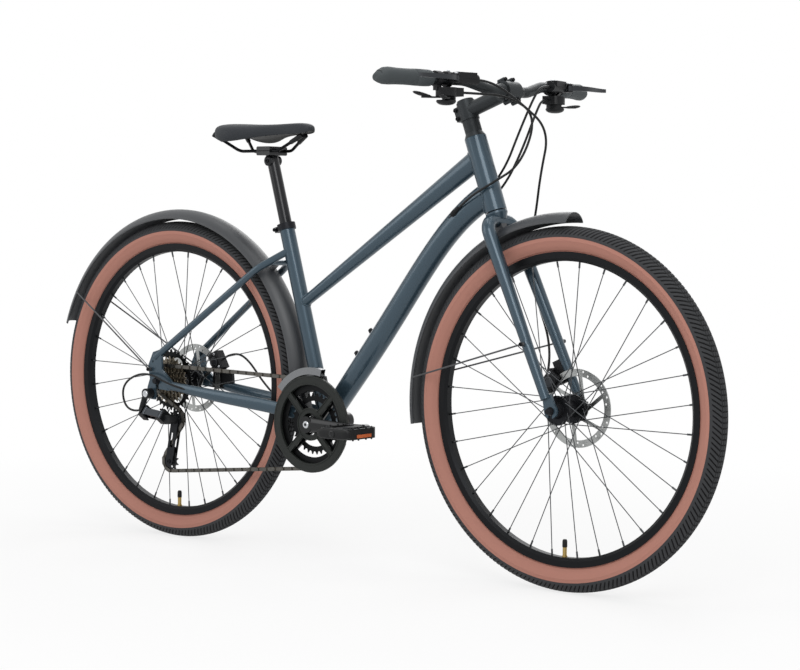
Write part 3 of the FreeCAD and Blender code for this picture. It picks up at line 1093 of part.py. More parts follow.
upper_clamp = max(halves.Solids, key=lambda solid: solid.CenterOfMass.z)
lower_clamp = min(halves.Solids, key=lambda solid: solid.CenterOfMass.z)
keep("seatpost", post.fuse(lower_clamp), upper_clamp)

cushion_rows = [(0.0, 0.55, 16, 50), (0.07, 0.9, 34, 43), (0.28, 1.0, 46, 38), (0.5, 0.66, 45, 38),
                (0.7, 0.36, 42, 39), (0.92, 0.26, 34, 39), (1.0, 0.14, 14, 40)]
cushion_wires = [oval(saddle(a * SADDLE_LENGTH, 0, z), Vector(1, 0, 0), w * SADDLE_WIDTH, h) for a, w, h,
                 z in cushion_rows]
cushion = Part.makeLoft(cushion_wires, True)
keep("saddle", cushion)
rail_ends = right_rail.cut(cushion)
rail_ends = max(rail_ends.Solids, key=lambda solid: solid.Volume)
keep("saddle_rails", rail_ends, mirror(rail_ends))


# Toothed discs and the path of the chain around them
def pitch_radius(teeth):
    return CHAIN_PITCH / (2 * math.sin(math.pi / teeth))


def toothed(centre, teeth, phase, y, thickness, bore):
    """Sprocket with a roller seat in each gap, the first gap at the phase angle."""
    radius = pitch_radius(teeth)
    seat = ROLLER_RADIUS + SEAT_CLEARANCE
    half_step = math.pi / teeth
    opening = math.radians(65)
    edges = []
    first = None
    last = None
    for i in range(teeth):
        angle = phase + 2 * half_step * i
        middle = polar(centre, radius, angle, y - thickness / 2)
        out = polar(Vector(0, 0, 0), 1, angle)
        side = polar(Vector(0, 0, 0), 1, angle + math.pi / 2)
        start = middle - out * (seat * math.cos(opening)) - side * (seat * math.sin(opening))
        end = middle - out * (seat * math.cos(opening)) + side * (seat * math.sin(opening))
        if last:
            edges.append(Part.LineSegment(last, start).toShape())
        first = first or start
        edges.append(Part.Arc(start, middle - out * seat, end).toShape())
        tip = polar(centre, radius + TOOTH_RISE, angle + half_step, y - thickness / 2)
        tip_side = polar(Vector(0, 0, 0), 1, angle + half_step + math.pi / 2) * TOOTH_TIP
        edges.append(Part.LineSegment(end, tip - tip_side).toShape())
        edges.append(Part.LineSegment(tip - tip_side, tip + tip_side).toShape())
        last = tip + tip_side
    edges.append(Part.LineSegment(last, first).toShape())
    disc = Part.Face(Part.Wire(edges)).extrude(SIDE * thickness)
    low = centre + SIDE * (y - thickness)
    return disc.cut(cylinder(bore, low, low + SIDE * (2 * thickness)))


GUIDE_CENTRE = rear(GUIDE_PULLEY_X, 0, GUIDE_PULLEY_Z)
BRACKET_CENTRE = bracket(0, 0, 0)
ring_radius = pitch_radius(BIG_RING_TEETH)
cog_radius = pitch_radius(SPROCKET_TEETH[CHAIN_SPROCKET])
pulley_radius = pitch_radius(PULLEY_TEETH)


def chain_runs(cage_angle):
    """Straight runs and arcs of the closed chain, in order, for one angle of the cage."""
    tension = polar(GUIDE_CENTRE, PULLEY_SPACING, cage_angle)
    wheels = [(REAR_AXLE, cog_radius, -1), (BRACKET_CENTRE, ring_radius, -1),
              (tension, pulley_radius, -1), (GUIDE_CENTRE, pulley_radius, 1)]
    lines = []
    for (centre, radius, turn), (after, after_radius, after_turn) in zip(wheels, wheels[1:] + wheels[:1]):
        gap = after - centre
        offset = -turn * radius
        after_offset = -after_turn * after_radius
        heading = math.atan2(gap.z, gap.x) - math.asin((offset - after_offset) / gap.Length)
        normal = Vector(-math.sin(heading), 0, math.cos(heading))
        lines.append((centre + normal * offset, after + normal * after_offset))
    runs = []
    for i, (start, end) in enumerate(lines):
        runs.append(("line", start, end, (end - start).Length))
        centre, radius, turn = wheels[(i + 1) % 4]
        leave = lines[(i + 1) % 4][0]
        first = math.atan2(end.z - centre.z, end.x - centre.x)
        last = math.atan2(leave.z - centre.z, leave.x - centre.x)
        sweep = (turn * (last - first)) % (2 * math.pi)
        runs.append(("arc", centre, radius, radius * sweep, first, turn))
    return runs


def chain_point(runs, distance):
    """Point of the chain's path at a distance along it."""
    for run in runs:
        if distance <= run[3]:
            break
        distance -= run[3]
    if run[0] == "line":
        return run[1] + (run[2] - run[1]) * (distance / run[3])
    return polar(run[1], run[2], run[4] + run[5] * distance / run[2])


def chain_pins(runs, count):
    """Pins one pitch apart along the path, and how far the last step goes past the start."""
    total = sum(run[3] for run in runs)
    distance = 0.0
    pins = [chain_point(runs, 0.0)]
    for i in range(count):
        low = distance + CHAIN_PITCH
        high = distance + CHAIN_PITCH * 1.05
        for step in range(40):
            middle = (low + high) / 2
            if (chain_point(runs, middle % total) - pins[-1]).Length < CHAIN_PITCH:
                low = middle
            else:
                high = middle
        distance = low
        pins.append(chain_point(runs, distance % total))
    return pins[:count], distance - total


CAGE_REST = math.radians(-96.0)
CAGE_SEARCH = math.radians(16.0)
link_count = 2 * round(sum(run[3] for run in chain_runs(CAGE_REST)) / CHAIN_PITCH / 2)
low_angle = CAGE_REST - CAGE_SEARCH
high_angle = CAGE_REST + CAGE_SEARCH
for step in range(40):
    cage_angle = (low_angle + high_angle) / 2
    excess = chain_pins(chain_runs(cage_angle), link_count)[1]
    if excess > 0:
        high_angle = cage_angle
    else:
        low_angle = cage_angle
pins, excess = chain_pins(chain_runs(cage_angle), link_count)
TENSION_CENTRE = polar(GUIDE_CENTRE, PULLEY_SPACING, cage_angle)


def phase_of(centre, radius):
    """Angle of a pin that lies well inside the arc round a wheel."""
    on_wheel = [pin for pin in pins if abs((pin - centre).Length - radius) < 1e-4]
    pin = on_wheel[len(on_wheel) // 2]
    return math.atan2(pin.z - centre.z, pin.x - centre.x)


ring_phase = phase_of(BRACKET_CENTRE, ring_radius)
cog_phase = phase_of(REAR_AXLE, cog_radius)
guide_phase = phase_of(GUIDE_CENTRE, pulley_radius)
tension_phase = phase_of(TENSION_CENTRE, pulley_radius)

# Chain: narrow links with rollers and wide links with pin ends, in turn
inner_side = CHAIN_INNER_WIDTH / 2
chain_pieces = []


def link_plate(first, last, y, thickness):
    along = (last - first).normalize()
    across = along.cross(SIDE) * CHAIN_PLATE_RADIUS
    low = SIDE * (y - thickness / 2)
    corners = [first - across + low, last - across + low, last + across + low, first + across + low]
    edges = [Part.LineSegment(corners[0], corners[1]),
             Part.Arc(corners[1], last + along * CHAIN_PLATE_RADIUS + low, corners[2]),
             Part.LineSegment(corners[2], corners[3]),
             Part.Arc(corners[3], first - along * CHAIN_PLATE_RADIUS + low, corners[0])]
    return Part.Face(Part.Wire([edge.toShape() for edge in edges])).extrude(SIDE * thickness)


for i in range(link_count):
    first = pins[i]
    last = pins[(i + 1) % link_count]
    wide = i % 2
    offset = inner_side + CHAIN_PLATE * (1.5 if wide else 0.5)
    for sign in (-1, 1):
        chain_pieces.append(link_plate(first, last, CHAIN_LINE + sign * offset, CHAIN_PLATE))
    roller_low = SIDE * (CHAIN_LINE - inner_side)
    chain_pieces.append(cylinder(ROLLER_RADIUS, first + roller_low,
                                 first + roller_low + SIDE * CHAIN_INNER_WIDTH))
keep("chain", *chain_pieces)

# Cassette on its freehub body
cassette_end = -REAR_HUB_WIDTH / 2 + LOCKNUT_WIDTH + SIDE_CLEARANCE
freehub = ring(FREEHUB_RADIUS, REAR_AXLE_RADIUS + RUNNING_CLEARANCE, REAR_AXLE + SIDE * CASSETTE_INNER,
               REAR_AXLE + SIDE * cassette_end)
cassette_pieces = [freehub]
for i, teeth in enumerate(SPROCKET_TEETH):
    phase = cog_phase if i == CHAIN_SPROCKET else 0.0
    sprocket = toothed(REAR_AXLE, teeth, phase, SPROCKET_Y[i], SPROCKET_THICKNESS, FREEHUB_RADIUS)
    window = pitch_radius(teeth) - 11
    if window > FREEHUB_RADIUS + 10:
        holes = []
        for j in range(6):
            hole_centre = polar(REAR_AXLE, (window + FREEHUB_RADIUS + 5) / 2, j * math.pi / 3,
                                SPROCKET_Y[i])
            size = (window - FREEHUB_RADIUS - 5) / 2
            holes.append(cylinder(size, hole_centre - SIDE * 3, hole_centre + SIDE * 3))
        sprocket = sprocket.cut(Part.makeCompound(holes))
    cassette_pieces.append(sprocket)
    if i:
        low = SPROCKET_Y[i - 1] + SPROCKET_THICKNESS / 2
        high = SPROCKET_Y[i] - SPROCKET_THICKNESS / 2
        cassette_pieces.append(ring(FREEHUB_RADIUS + 3, FREEHUB_RADIUS, REAR_AXLE + SIDE * low,
                                    REAR_AXLE + SIDE * high))
keep("cassette", *cassette_pieces)

# Crankset: spider arm, two rings, chain guard, left arm, spindles
SMALL_RING_Y = CHAIN_LINE + RING_SPACING
SPIDER_ARMS = 4
SPIDER_REACH = 80.0
ring_bolt_circle = (BIG_RING_INNER + SPIDER_REACH) / 2
big_ring = toothed(BRACKET_CENTRE, BIG_RING_TEETH, ring_phase, CHAIN_LINE, RING_THICKNESS, BIG_RING_INNER)
small_ring = toothed(BRACKET_CENTRE, SMALL_RING_TEETH, 0.0, SMALL_RING_Y, RING_THICKNESS, SMALL_RING_INNER)
keep("chainrings", big_ring, small_ring)

crank_outer = -CRANK_INNER_Y - CRANK_THICKNESS
spider_start = CHAIN_LINE + RING_THICKNESS / 2
spider_end = SMALL_RING_Y - RING_THICKNESS / 2
boss_inner = -BRACKET_WIDTH / 2 - 1.5


def crank_arm():
    """Arm with a boss on the spindle and an eye for the pedal, pointing forward on the right."""
    boss = cone(CRANK_HUB_RADIUS - 3, CRANK_HUB_RADIUS, BRACKET_CENTRE + SIDE * boss_inner,
                BRACKET_CENTRE - SIDE * CRANK_INNER_Y)
    boss = boss.fuse(cylinder(CRANK_HUB_RADIUS, BRACKET_CENTRE - SIDE * CRANK_INNER_Y,
                              BRACKET_CENTRE + SIDE * crank_outer))
    eye_centre = BRACKET_CENTRE + Vector(CRANK_LENGTH, 0, 0)
    eye_low = -CRANK_INNER_Y - CRANK_FLARE
    eye = cylinder(CRANK_EYE_RADIUS, eye_centre + SIDE * eye_low,
                   eye_centre + SIDE * (eye_low - CRANK_THICKNESS))
    middle_y = -CRANK_INNER_Y - CRANK_THICKNESS / 2
    wires = []
    for share, height, thick in ((0.05, 32.0, 13.0), (0.35, 27.0, 12.5), (0.7, 23.0, 12.0),
                                 (1.0, 24.0, 12.5)):
        centre = BRACKET_CENTRE + Vector(share * CRANK_LENGTH, middle_y - share * CRANK_FLARE, 0)
        wires.append(oval(centre, Vector(1, 0, 0), thick, height))
    return boss.fuse(Part.makeLoft(wires, True)).fuse(eye)


spindle = cylinder(SPINDLE_RADIUS, BRACKET_CENTRE + SIDE * (crank_outer + 3),
                   BRACKET_CENTRE - SIDE * (crank_outer + 3))
pedal_start = CRANK_INNER_Y + CRANK_FLARE
pedal_inner = pedal_start + CRANK_THICKNESS + 1.5
pedal_outer = pedal_inner + PEDAL_WIDTH
right_eye = BRACKET_CENTRE + Vector(CRANK_LENGTH, 0, 0)
left_eye = BRACKET_CENTRE - Vector(CRANK_LENGTH, 0, 0)
right_spindle = cylinder(PEDAL_SPINDLE_RADIUS, right_eye - SIDE * pedal_start,
                         right_eye - SIDE * (pedal_outer - 8))
left_spindle = cylinder(PEDAL_SPINDLE_RADIUS, left_eye + SIDE * pedal_start,
                        left_eye + SIDE * (pedal_outer - 8))
keep("crank_spindle", spindle, right_spindle, left_spindle)

right_arm = crank_arm()
left_arm = right_arm.copy()
left_arm.rotate(BRACKET_CENTRE, UP, 180)
for i in range(SPIDER_ARMS):
    angle = math.pi * (0.25 + i * 2 / SPIDER_ARMS)
    out = polar(Vector(0, 0, 0), 1, angle)
    side = out.cross(SIDE)
    root = BRACKET_CENTRE + out * (CRANK_HUB_RADIUS - 8)
    tip = BRACKET_CENTRE + out * SPIDER_REACH
    corners = [root - side * 13, tip - side * 8, tip + side * 8, root + side * 13]
    arm = plate([(c.x - BRACKET_CENTRE.x, c.z - BRACKET_CENTRE.z) for c in corners], spider_start,
                spider_end, BRACKET_CENTRE)
    right_arm = right_arm.fuse(arm)
right_arm = right_arm.cut(spindle).cut(right_spindle)
left_arm = left_arm.cut(spindle).cut(left_spindle)
keep("right_crank", right_arm)
keep("left_crank", left_arm)

shield_inner = CHAIN_LINE - inner_side - 2 * CHAIN_PLATE - 1.25
shield_outer = shield_inner - CHAINGUARD_THICKNESS
GUARD_HUB_RADIUS = 36.0
GUARD_HUB_BORE = 24.0
GUARD_SPOKE = 13.0
chainguard = ring(CHAINGUARD_RADIUS, CHAINGUARD_RADIUS - CHAINGUARD_BAND,
                  BRACKET_CENTRE + SIDE * shield_outer, BRACKET_CENTRE + SIDE * shield_inner)
chainguard = chainguard.fuse(ring(GUARD_HUB_RADIUS, GUARD_HUB_BORE, BRACKET_CENTRE + SIDE * shield_outer,
                                  BRACKET_CENTRE + SIDE * shield_inner))
for i in range(SPIDER_ARMS):
    angle = math.pi * (0.25 + i * 2 / SPIDER_ARMS)
    out = polar(Vector(0, 0, 0), 1, angle)
    middle = BRACKET_CENTRE + out * ((GUARD_HUB_RADIUS + CHAINGUARD_RADIUS - CHAINGUARD_BAND) / 2)
    middle = middle + SIDE * ((shield_inner + shield_outer) / 2)
    bar_length = CHAINGUARD_RADIUS - CHAINGUARD_BAND - GUARD_HUB_RADIUS + 8
    chainguard = chainguard.fuse(block(middle, out, SIDE, bar_length, CHAINGUARD_THICKNESS, GUARD_SPOKE))
    foot = polar(BRACKET_CENTRE, ring_bolt_circle, angle)
    chainguard = chainguard.fuse(cylinder(4.5, foot + SIDE * shield_inner,
                                          foot + SIDE * (CHAIN_LINE - RING_THICKNESS / 2)))
keep("chainguard", chainguard)


# Platform pedals: outer cage with two windows and a barrel on the spindle
def pedal(centre, y_low):
    half = PEDAL_LENGTH / 2
    body = Part.makeBox(PEDAL_LENGTH, PEDAL_WIDTH, PEDAL_HEIGHT,
                        centre + Vector(-half, y_low, -PEDAL_HEIGHT / 2))
    corners = [edge for edge in body.Edges if abs(edge.tangentAt(edge.FirstParameter).z) > 0.9]
    body = body.makeFillet(16, corners)
    for side in (-1, 1):
        length = half - 9 - PEDAL_SPINDLE_RADIUS - 7
        low_x = PEDAL_SPINDLE_RADIUS + 7 if side > 0 else -half + 9
        window = Part.makeBox(length, PEDAL_WIDTH - 22, PEDAL_HEIGHT + 2,
                              centre + Vector(low_x, y_low + 11, -PEDAL_HEIGHT / 2 - 1))
        window_corners = [edge for edge in window.Edges if abs(edge.tangentAt(edge.FirstParameter).z) > 0.9]
        window = window.makeFillet(6, window_corners)
        body = body.cut(window)
    return body.cut(cylinder(PEDAL_SPINDLE_RADIUS + RUNNING_CLEARANCE, centre + SIDE * (y_low - 1),
                             centre + SIDE * (y_low + PEDAL_WIDTH + 1)))


keep("right_pedal", pedal(right_eye, -pedal_outer))
keep("left_pedal", pedal(left_eye, pedal_inner))

# Rear derailleur: slanted parallelogram between the hanger and the pulley cage
SLANT = math.radians(38.0)
LINK_LENGTH = 44.0
LINK_REST = math.radians(13.5)
LINK_OFFSET = 14.0
LINK_HALF_HEIGHT = 10.0
LINK_THICKNESS = 4.0
BARREL_RADIUS = 4.5
LINK_PIN_RADIUS = 2.0
EAR_THICKNESS = 3.0
EAR_REACH = 12.0
CAGE_GAP = 5.2
CAGE_PLATE = 1.5
CAGE_HALF_WIDTH = 11.0
CAGE_PIN_RADIUS = 4.0
PULLEY_PIN_RADIUS = 3.0
PULLEY_HUB_RADIUS = 7.0
KNUCKLE_RADIUS = 11.0
E1 = Vector(1, 0, 0)
E2 = Vector(0, math.cos(SLANT), -math.sin(SLANT))
PIN_LINE = Vector(0, math.sin(SLANT), math.cos(SLANT))
fixed_middle = rear(-26, -82.1, -75)
link_line = E1 * math.cos(LINK_REST) + E2 * math.sin(LINK_REST)
moving_middle = fixed_middle + link_line * LINK_LENGTH


def pivot_fork(middle, back):
    """Two ears joined by a web, with the two pins of the parallelogram."""
    ear_low = LINK_HALF_HEIGHT + FREE_CLEARANCE
    piece = block(middle + E1 * (9 * back), E1, E2, 4, 2 * EAR_REACH, 2 * (ear_low + EAR_THICKNESS))
    for sign in (-1, 1):
        centre = middle + E1 * (2.5 * back) + PIN_LINE * (sign * (ear_low + EAR_THICKNESS / 2))
        piece = piece.fuse(block(centre, E1, E2, 15, 2 * EAR_REACH, EAR_THICKNESS))
        pin = middle + E2 * (sign * LINK_OFFSET / 2)
        reach = PIN_LINE * (ear_low + EAR_THICKNESS)
        piece = piece.fuse(cylinder(LINK_PIN_RADIUS, pin - reach, pin + reach))
    return piece


def parallel_link(side):
    """Link plate with a barrel at each end."""
    start = fixed_middle + E2 * (side * LINK_OFFSET / 2)
    end = moving_middle + E2 * (side * LINK_OFFSET / 2)
    reach = PIN_LINE * LINK_HALF_HEIGHT
    along = (end - start).normalize()
    piece = block((start + end) * 0.5, along, PIN_LINE, LINK_LENGTH, 2 * LINK_HALF_HEIGHT - 3,
                  LINK_THICKNESS)
    for centre in (start, end):
        piece = piece.fuse(cylinder(BARREL_RADIUS, centre - reach, centre + reach))
    for centre in (start, end):
        piece = piece.cut(cylinder(LINK_PIN_RADIUS + RUNNING_CLEARANCE, centre - reach, centre + reach))
    return piece


HANGER_PIVOT_INNER = -DROPOUT_OUTER - FREE_CLEARANCE
HANGER_PIVOT_OUTER = -92.0
hanger_centre = rear(HANGER_X, 0, HANGER_Z)
mount_barrel = cylinder(12, hanger_centre + SIDE * HANGER_PIVOT_INNER,
                        hanger_centre + SIDE * HANGER_PIVOT_OUTER)
mount_bolt = cylinder(HANGER_BORE - RUNNING_CLEARANCE, hanger_centre - SIDE * (DROPOUT_INNER - 1),
                      hanger_centre + SIDE * HANGER_PIVOT_OUTER)
neck = cylinder(7, rear(HANGER_X - 9, -83, HANGER_Z - 6), rear(-43, -82.5, -72))
derailleur_body = pivot_fork(fixed_middle, -1).fuse(neck).fuse(mount_barrel).fuse(mount_bolt)
keep("rear_derailleur_body", derailleur_body)
keep("derailleur_outer_link", parallel_link(-1))
keep("derailleur_inner_link", parallel_link(1))

cage_outer = CHAIN_LINE - CAGE_GAP - CAGE_PLATE
knuckle_end = cage_outer - FREE_CLEARANCE
knuckle = cylinder(KNUCKLE_RADIUS, GUIDE_CENTRE + SIDE * knuckle_end,
                   GUIDE_CENTRE + SIDE * (knuckle_end - 26))
knuckle = knuckle.fuse(pivot_fork(moving_middle, 1))
room_reach = PIN_LINE * (LINK_HALF_HEIGHT + FREE_CLEARANCE)
pin_reach = room_reach + PIN_LINE * EAR_THICKNESS
knuckle_pins = [moving_middle + E2 * (sign * LINK_OFFSET / 2) for sign in (-1, 1)]
for pin in knuckle_pins:
    knuckle = knuckle.cut(cylinder(BARREL_RADIUS + 1.5, pin - room_reach, pin + room_reach))
for pin in knuckle_pins:
    knuckle = knuckle.fuse(cylinder(LINK_PIN_RADIUS, pin - pin_reach, pin + pin_reach))
knuckle = knuckle.fuse(cylinder(CAGE_PIN_RADIUS, GUIDE_CENTRE + SIDE * (knuckle_end - 5),
                                GUIDE_CENTRE + SIDE * (CHAIN_LINE - CAGE_GAP)))
keep("derailleur_knuckle", knuckle)

cage_direction = (TENSION_CENTRE - GUIDE_CENTRE).normalize()
cage_side = cage_direction.cross(SIDE)


def cage_plate(y_low):
    piece = block((GUIDE_CENTRE + TENSION_CENTRE) * 0.5 + SIDE * (y_low + CAGE_PLATE / 2), cage_direction,
                  SIDE,
                  PULLEY_SPACING, CAGE_PLATE, 2 * CAGE_HALF_WIDTH)
    for centre in (GUIDE_CENTRE, TENSION_CENTRE):
        piece = piece.fuse(cylinder(CAGE_HALF_WIDTH, centre + SIDE * y_low,
                                    centre + SIDE * (y_low + CAGE_PLATE)))
    slot_centre = (GUIDE_CENTRE + TENSION_CENTRE) * 0.5 + SIDE * (y_low + CAGE_PLATE / 2)
    return piece.cut(block(slot_centre, cage_direction, SIDE, 34, CAGE_PLATE + 2, 9))


outer_plate = cage_plate(cage_outer).cut(
    cylinder(CAGE_PIN_RADIUS + RUNNING_CLEARANCE, GUIDE_CENTRE + SIDE * (cage_outer - 1),
             GUIDE_CENTRE + SIDE * (cage_outer + 3)))
inner_plate = cage_plate(CHAIN_LINE + CAGE_GAP)
guide_pin = cylinder(PULLEY_PIN_RADIUS, GUIDE_CENTRE + SIDE * (CHAIN_LINE - CAGE_GAP + 1),
                     GUIDE_CENTRE + SIDE * (CHAIN_LINE + CAGE_GAP + 1))
tension_pin = cylinder(PULLEY_PIN_RADIUS, TENSION_CENTRE + SIDE * (CHAIN_LINE - CAGE_GAP - 1),
                       TENSION_CENTRE + SIDE * (CHAIN_LINE + CAGE_GAP + 1))
stop_centre = GUIDE_CENTRE + cage_direction * 31 + cage_side * 7.5
if (stop_centre - REAR_AXLE).x > (GUIDE_CENTRE + cage_direction * 31 - REAR_AXLE).x:
    stop_centre = GUIDE_CENTRE + cage_direction * 31 - cage_side * 7.5
cage_stop = cylinder(2.5, stop_centre + SIDE * (CHAIN_LINE - CAGE_GAP - 1),
                     stop_centre + SIDE * (CHAIN_LINE + CAGE_GAP + 1))
keep("derailleur_cage", outer_plate.fuse(inner_plate).fuse(guide_pin).fuse(tension_pin).fuse(cage_stop))


def pulley(centre, phase):
    """Toothed pulley with a hub that runs between the cage plates."""
    half = CAGE_GAP - SIDE_CLEARANCE
    bore = PULLEY_PIN_RADIUS + RUNNING_CLEARANCE
    hub_ring = ring(PULLEY_HUB_RADIUS, bore, centre + SIDE * (CHAIN_LINE - half),
                    centre + SIDE * (CHAIN_LINE + half))
    wheel = toothed(centre, PULLEY_TEETH, phase, CHAIN_LINE, PULLEY_WIDTH, bore)
    holes = []
    for i in range(5):
        hole = polar(centre, 12.5, 2 * math.pi * i / 5, CHAIN_LINE)
        holes.append(cylinder(3, hole - SIDE * 3, hole + SIDE * 3))
    return wheel.cut(Part.makeCompound(holes)).fuse(hub_ring)


keep("guide_pulley", pulley(GUIDE_CENTRE, guide_phase))
keep("tension_pulley", pulley(TENSION_CENTRE, tension_phase))

# Front derailleur: band on the seat tube, hinge beside the rings and curved cage over the chain guard
FD_BAND_ALONG = 86.0
FD_BAND_HEIGHT = 14.0
FD_BAND_WALL = 3.0
FD_HINGE_ALONG = 78.0
FD_HINGE_Y = -31.0
FD_BARREL_RADIUS = 7.0
FD_BARREL_HALF = 8.5
FD_PIN_RADIUS = 3.0
FD_EAR = 4.0
FD_EAR_HEIGHT = 12.0
FD_LOW = CHAINGUARD_RADIUS + 2.5
FD_HIGH = FD_LOW + 15.5
FD_INNER_LOW = FD_LOW - 8.0
FD_START = math.radians(76.0)
FD_END = math.radians(142.0)
FD_INNER_END = math.radians(130.0)
FD_BRIDGE_END = math.radians(116.0)
FD_GAP = 6.0
FD_PLATE = 1.2
FD_ARM_FOOT = 81.5
FD_ARM_THICKNESS = 6.0
fd_hinge = seat_line(FD_HINGE_ALONG, 0, FD_HINGE_Y)
band = ring(SEAT_TUBE_RADIUS + FD_BAND_WALL, SEAT_TUBE_RADIUS, seat_line(FD_BAND_ALONG),
            seat_line(FD_BAND_ALONG + FD_BAND_HEIGHT))
ear_middle = FD_BARREL_HALF + FREE_CLEARANCE + FD_EAR / 2
base_outer = FD_HINGE_Y + FD_BARREL_RADIUS + FREE_CLEARANCE
base_low = FD_HINGE_ALONG - FD_EAR_HEIGHT / 2
base_high = FD_BAND_ALONG + FD_BAND_HEIGHT
fd_base = block(seat_line((base_low + base_high) / 2, 0, base_outer / 2), SEAT_UP, SIDE,
                base_high - base_low, -base_outer,
                2 * ear_middle + FD_EAR)
fd_body = band.fuse(fd_base)
for sign in (-1, 1):
    ear_outer = FD_HINGE_Y - FD_EAR_HEIGHT / 2
    ear = block(seat_line(FD_HINGE_ALONG, sign * ear_middle, ear_outer / 2), SEAT_UP, SIDE, FD_EAR_HEIGHT,
                -ear_outer, FD_EAR)
    fd_body = fd_body.fuse(ear)
fd_pin_reach = SEAT_FORWARD * (ear_middle + FD_EAR / 2)
fd_body = fd_body.fuse(cylinder(FD_PIN_RADIUS, fd_hinge - fd_pin_reach, fd_hinge + fd_pin_reach))
fd_body = fd_body.cut(seat_core)
keep("front_derailleur_body", fd_body)


def sector(inner, outer, start, end, y_low, y_high):
    """Part of a flat ring about the bottom bracket."""
    edges = [Part.Arc(polar(BRACKET_CENTRE, outer, start, y_low),
                      polar(BRACKET_CENTRE, outer, (start + end) / 2, y_low),
                      polar(BRACKET_CENTRE, outer, end, y_low)),
             Part.LineSegment(polar(BRACKET_CENTRE, outer, end, y_low),
                              polar(BRACKET_CENTRE, inner, end, y_low)),
             Part.Arc(polar(BRACKET_CENTRE, inner, end, y_low),
                      polar(BRACKET_CENTRE, inner, (start + end) / 2, y_low),
                      polar(BRACKET_CENTRE, inner, start, y_low)),
             Part.LineSegment(polar(BRACKET_CENTRE, inner, start, y_low),
                              polar(BRACKET_CENTRE, outer, start, y_low))]
    face = Part.Face(Part.Wire([edge.toShape() for edge in edges]))
    return face.extrude(SIDE * (y_high - y_low))


fd_outer = CHAIN_LINE - FD_GAP - FD_PLATE
fd_inner = CHAIN_LINE + FD_GAP
fd_cage = sector(FD_LOW, FD_HIGH, FD_START, FD_END, fd_outer, fd_outer + FD_PLATE)
fd_cage = fd_cage.fuse(sector(FD_INNER_LOW, FD_HIGH, FD_START, FD_INNER_END, fd_inner, fd_inner + FD_PLATE))
fd_cage = fd_cage.fuse(sector(FD_HIGH - FD_PLATE, FD_HIGH, FD_START, FD_BRIDGE_END,
                              fd_outer, fd_inner + FD_PLATE))
fd_barrel_reach = SEAT_FORWARD * FD_BARREL_HALF
fd_cage = fd_cage.fuse(cylinder(FD_BARREL_RADIUS, fd_hinge - fd_barrel_reach, fd_hinge + fd_barrel_reach))
fd_arm_top = FD_LOW + 2
fd_arm_y = fd_inner + (FD_PLATE + FD_ARM_THICKNESS) / 2
fd_arm = block(seat_line((FD_ARM_FOOT + fd_arm_top) / 2, 0, fd_arm_y), SEAT_UP, SIDE,
               fd_arm_top - FD_ARM_FOOT,
               FD_PLATE + FD_ARM_THICKNESS, 2 * FD_BARREL_HALF)
fd_pin_room = cylinder(FD_PIN_RADIUS + RUNNING_CLEARANCE, fd_hinge - fd_barrel_reach,
                       fd_hinge + fd_barrel_reach)
fd_cage = fd_cage.fuse(fd_arm).cut(fd_pin_room)
keep("front_derailleur_cage", fd_cage)

# Cables: two from each side of the bar, straight runs joined by wide bends
CABLE_RADIUS = 2.5
pod_end = on_bar(pod_inward + 34, POD_FORWARD, pod_floor + POD_HEIGHT / 2)
hose_end = on_bar(BRAKE_CLAMP + 62.4, 25, 0)
left_pod = other_side(pod_end)
left_hose = other_side(hose_end)
left_inward = other_side(BAR_INWARD)
shift_points = [pod_end, pod_end + BAR_INWARD * 40, rear(974, -40, 628), rear(1012, 6, 590),
                rear(985, -10, 490),
                rear(925, -31, 452), rear(860, -31, 420), rear(806, -18, 378)]
hose_points = [left_hose, left_hose + left_inward * 40, rear(966, 62, 636), rear(940, 44, 560),
               rear(909, 36, 480),
               rear(850, 32, 420), rear(804, 18, 378)]
front_shift_points = [left_pod, left_pod + left_inward * 30, rear(960, 78, 606), rear(938, 56, 520),
                      rear(905, 43, 448),
                      rear(840, 39, 392), rear(782, 18, 352)]
caliper_out = polar(Vector(0, 0, 0), 1, REAR_CALIPER_ANGLE)
caliper_face = polar(REAR_AXLE, CALIPER_MIDDLE + CALIPER_HEIGHT / 2, REAR_CALIPER_ANGLE, REAR_ROTOR_Y + 6)
stay_points = [rear(270, 47, -33), rear(214, 66, -10), rear(150, 64, 60), caliper_face + caliper_out * 26,
               caliper_face]
loop_points = [rear(110, -63, -19), rear(56, -80, -10), rear(-22, -91, 24), rear(-104, -90, -12),
               rear(-92, -84, -78),
               rear(-49.6, -82.5, -71)]
frame_runs = []
for points in (shift_points, hose_points, front_shift_points, stay_points, loop_points):
    run = cable(points, CABLE_RADIUS)
    for core in (down_core, head_core, mirror(chainstay_core), chainstay_core, derailleur_body):
        run = run.cut(core)
    frame_runs.append(max(run.Solids, key=lambda solid: solid.Volume))
keep("frame_cables", *frame_runs)
front_hose = cable([hose_end, hose_end + BAR_INWARD * 40, rear(998, -36, 616), rear(1032, 30, 562),
                    rear(1006, 36, 470),
                    rear(968, 66, 388), rear(950, 67, 320), rear(970, 63, 228), rear(1020, 59,
                                                                                     116), rear(1018, 44,
                                                                                                66)],
                   CABLE_RADIUS)
keep("front_brake_hose", front_hose)

os.makedirs("parts", exist_ok=True)
for name, shape in PARTS.items():
    shape.exportStep("parts/" + name + ".step")
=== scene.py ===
"""Hybrid bicycle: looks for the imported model, in metres, X forward, Y to the rider's left, Z up."""
import bpy
from math import copysign, cos, pi, radians, sin, sqrt
from mathutils import Matrix, Vector


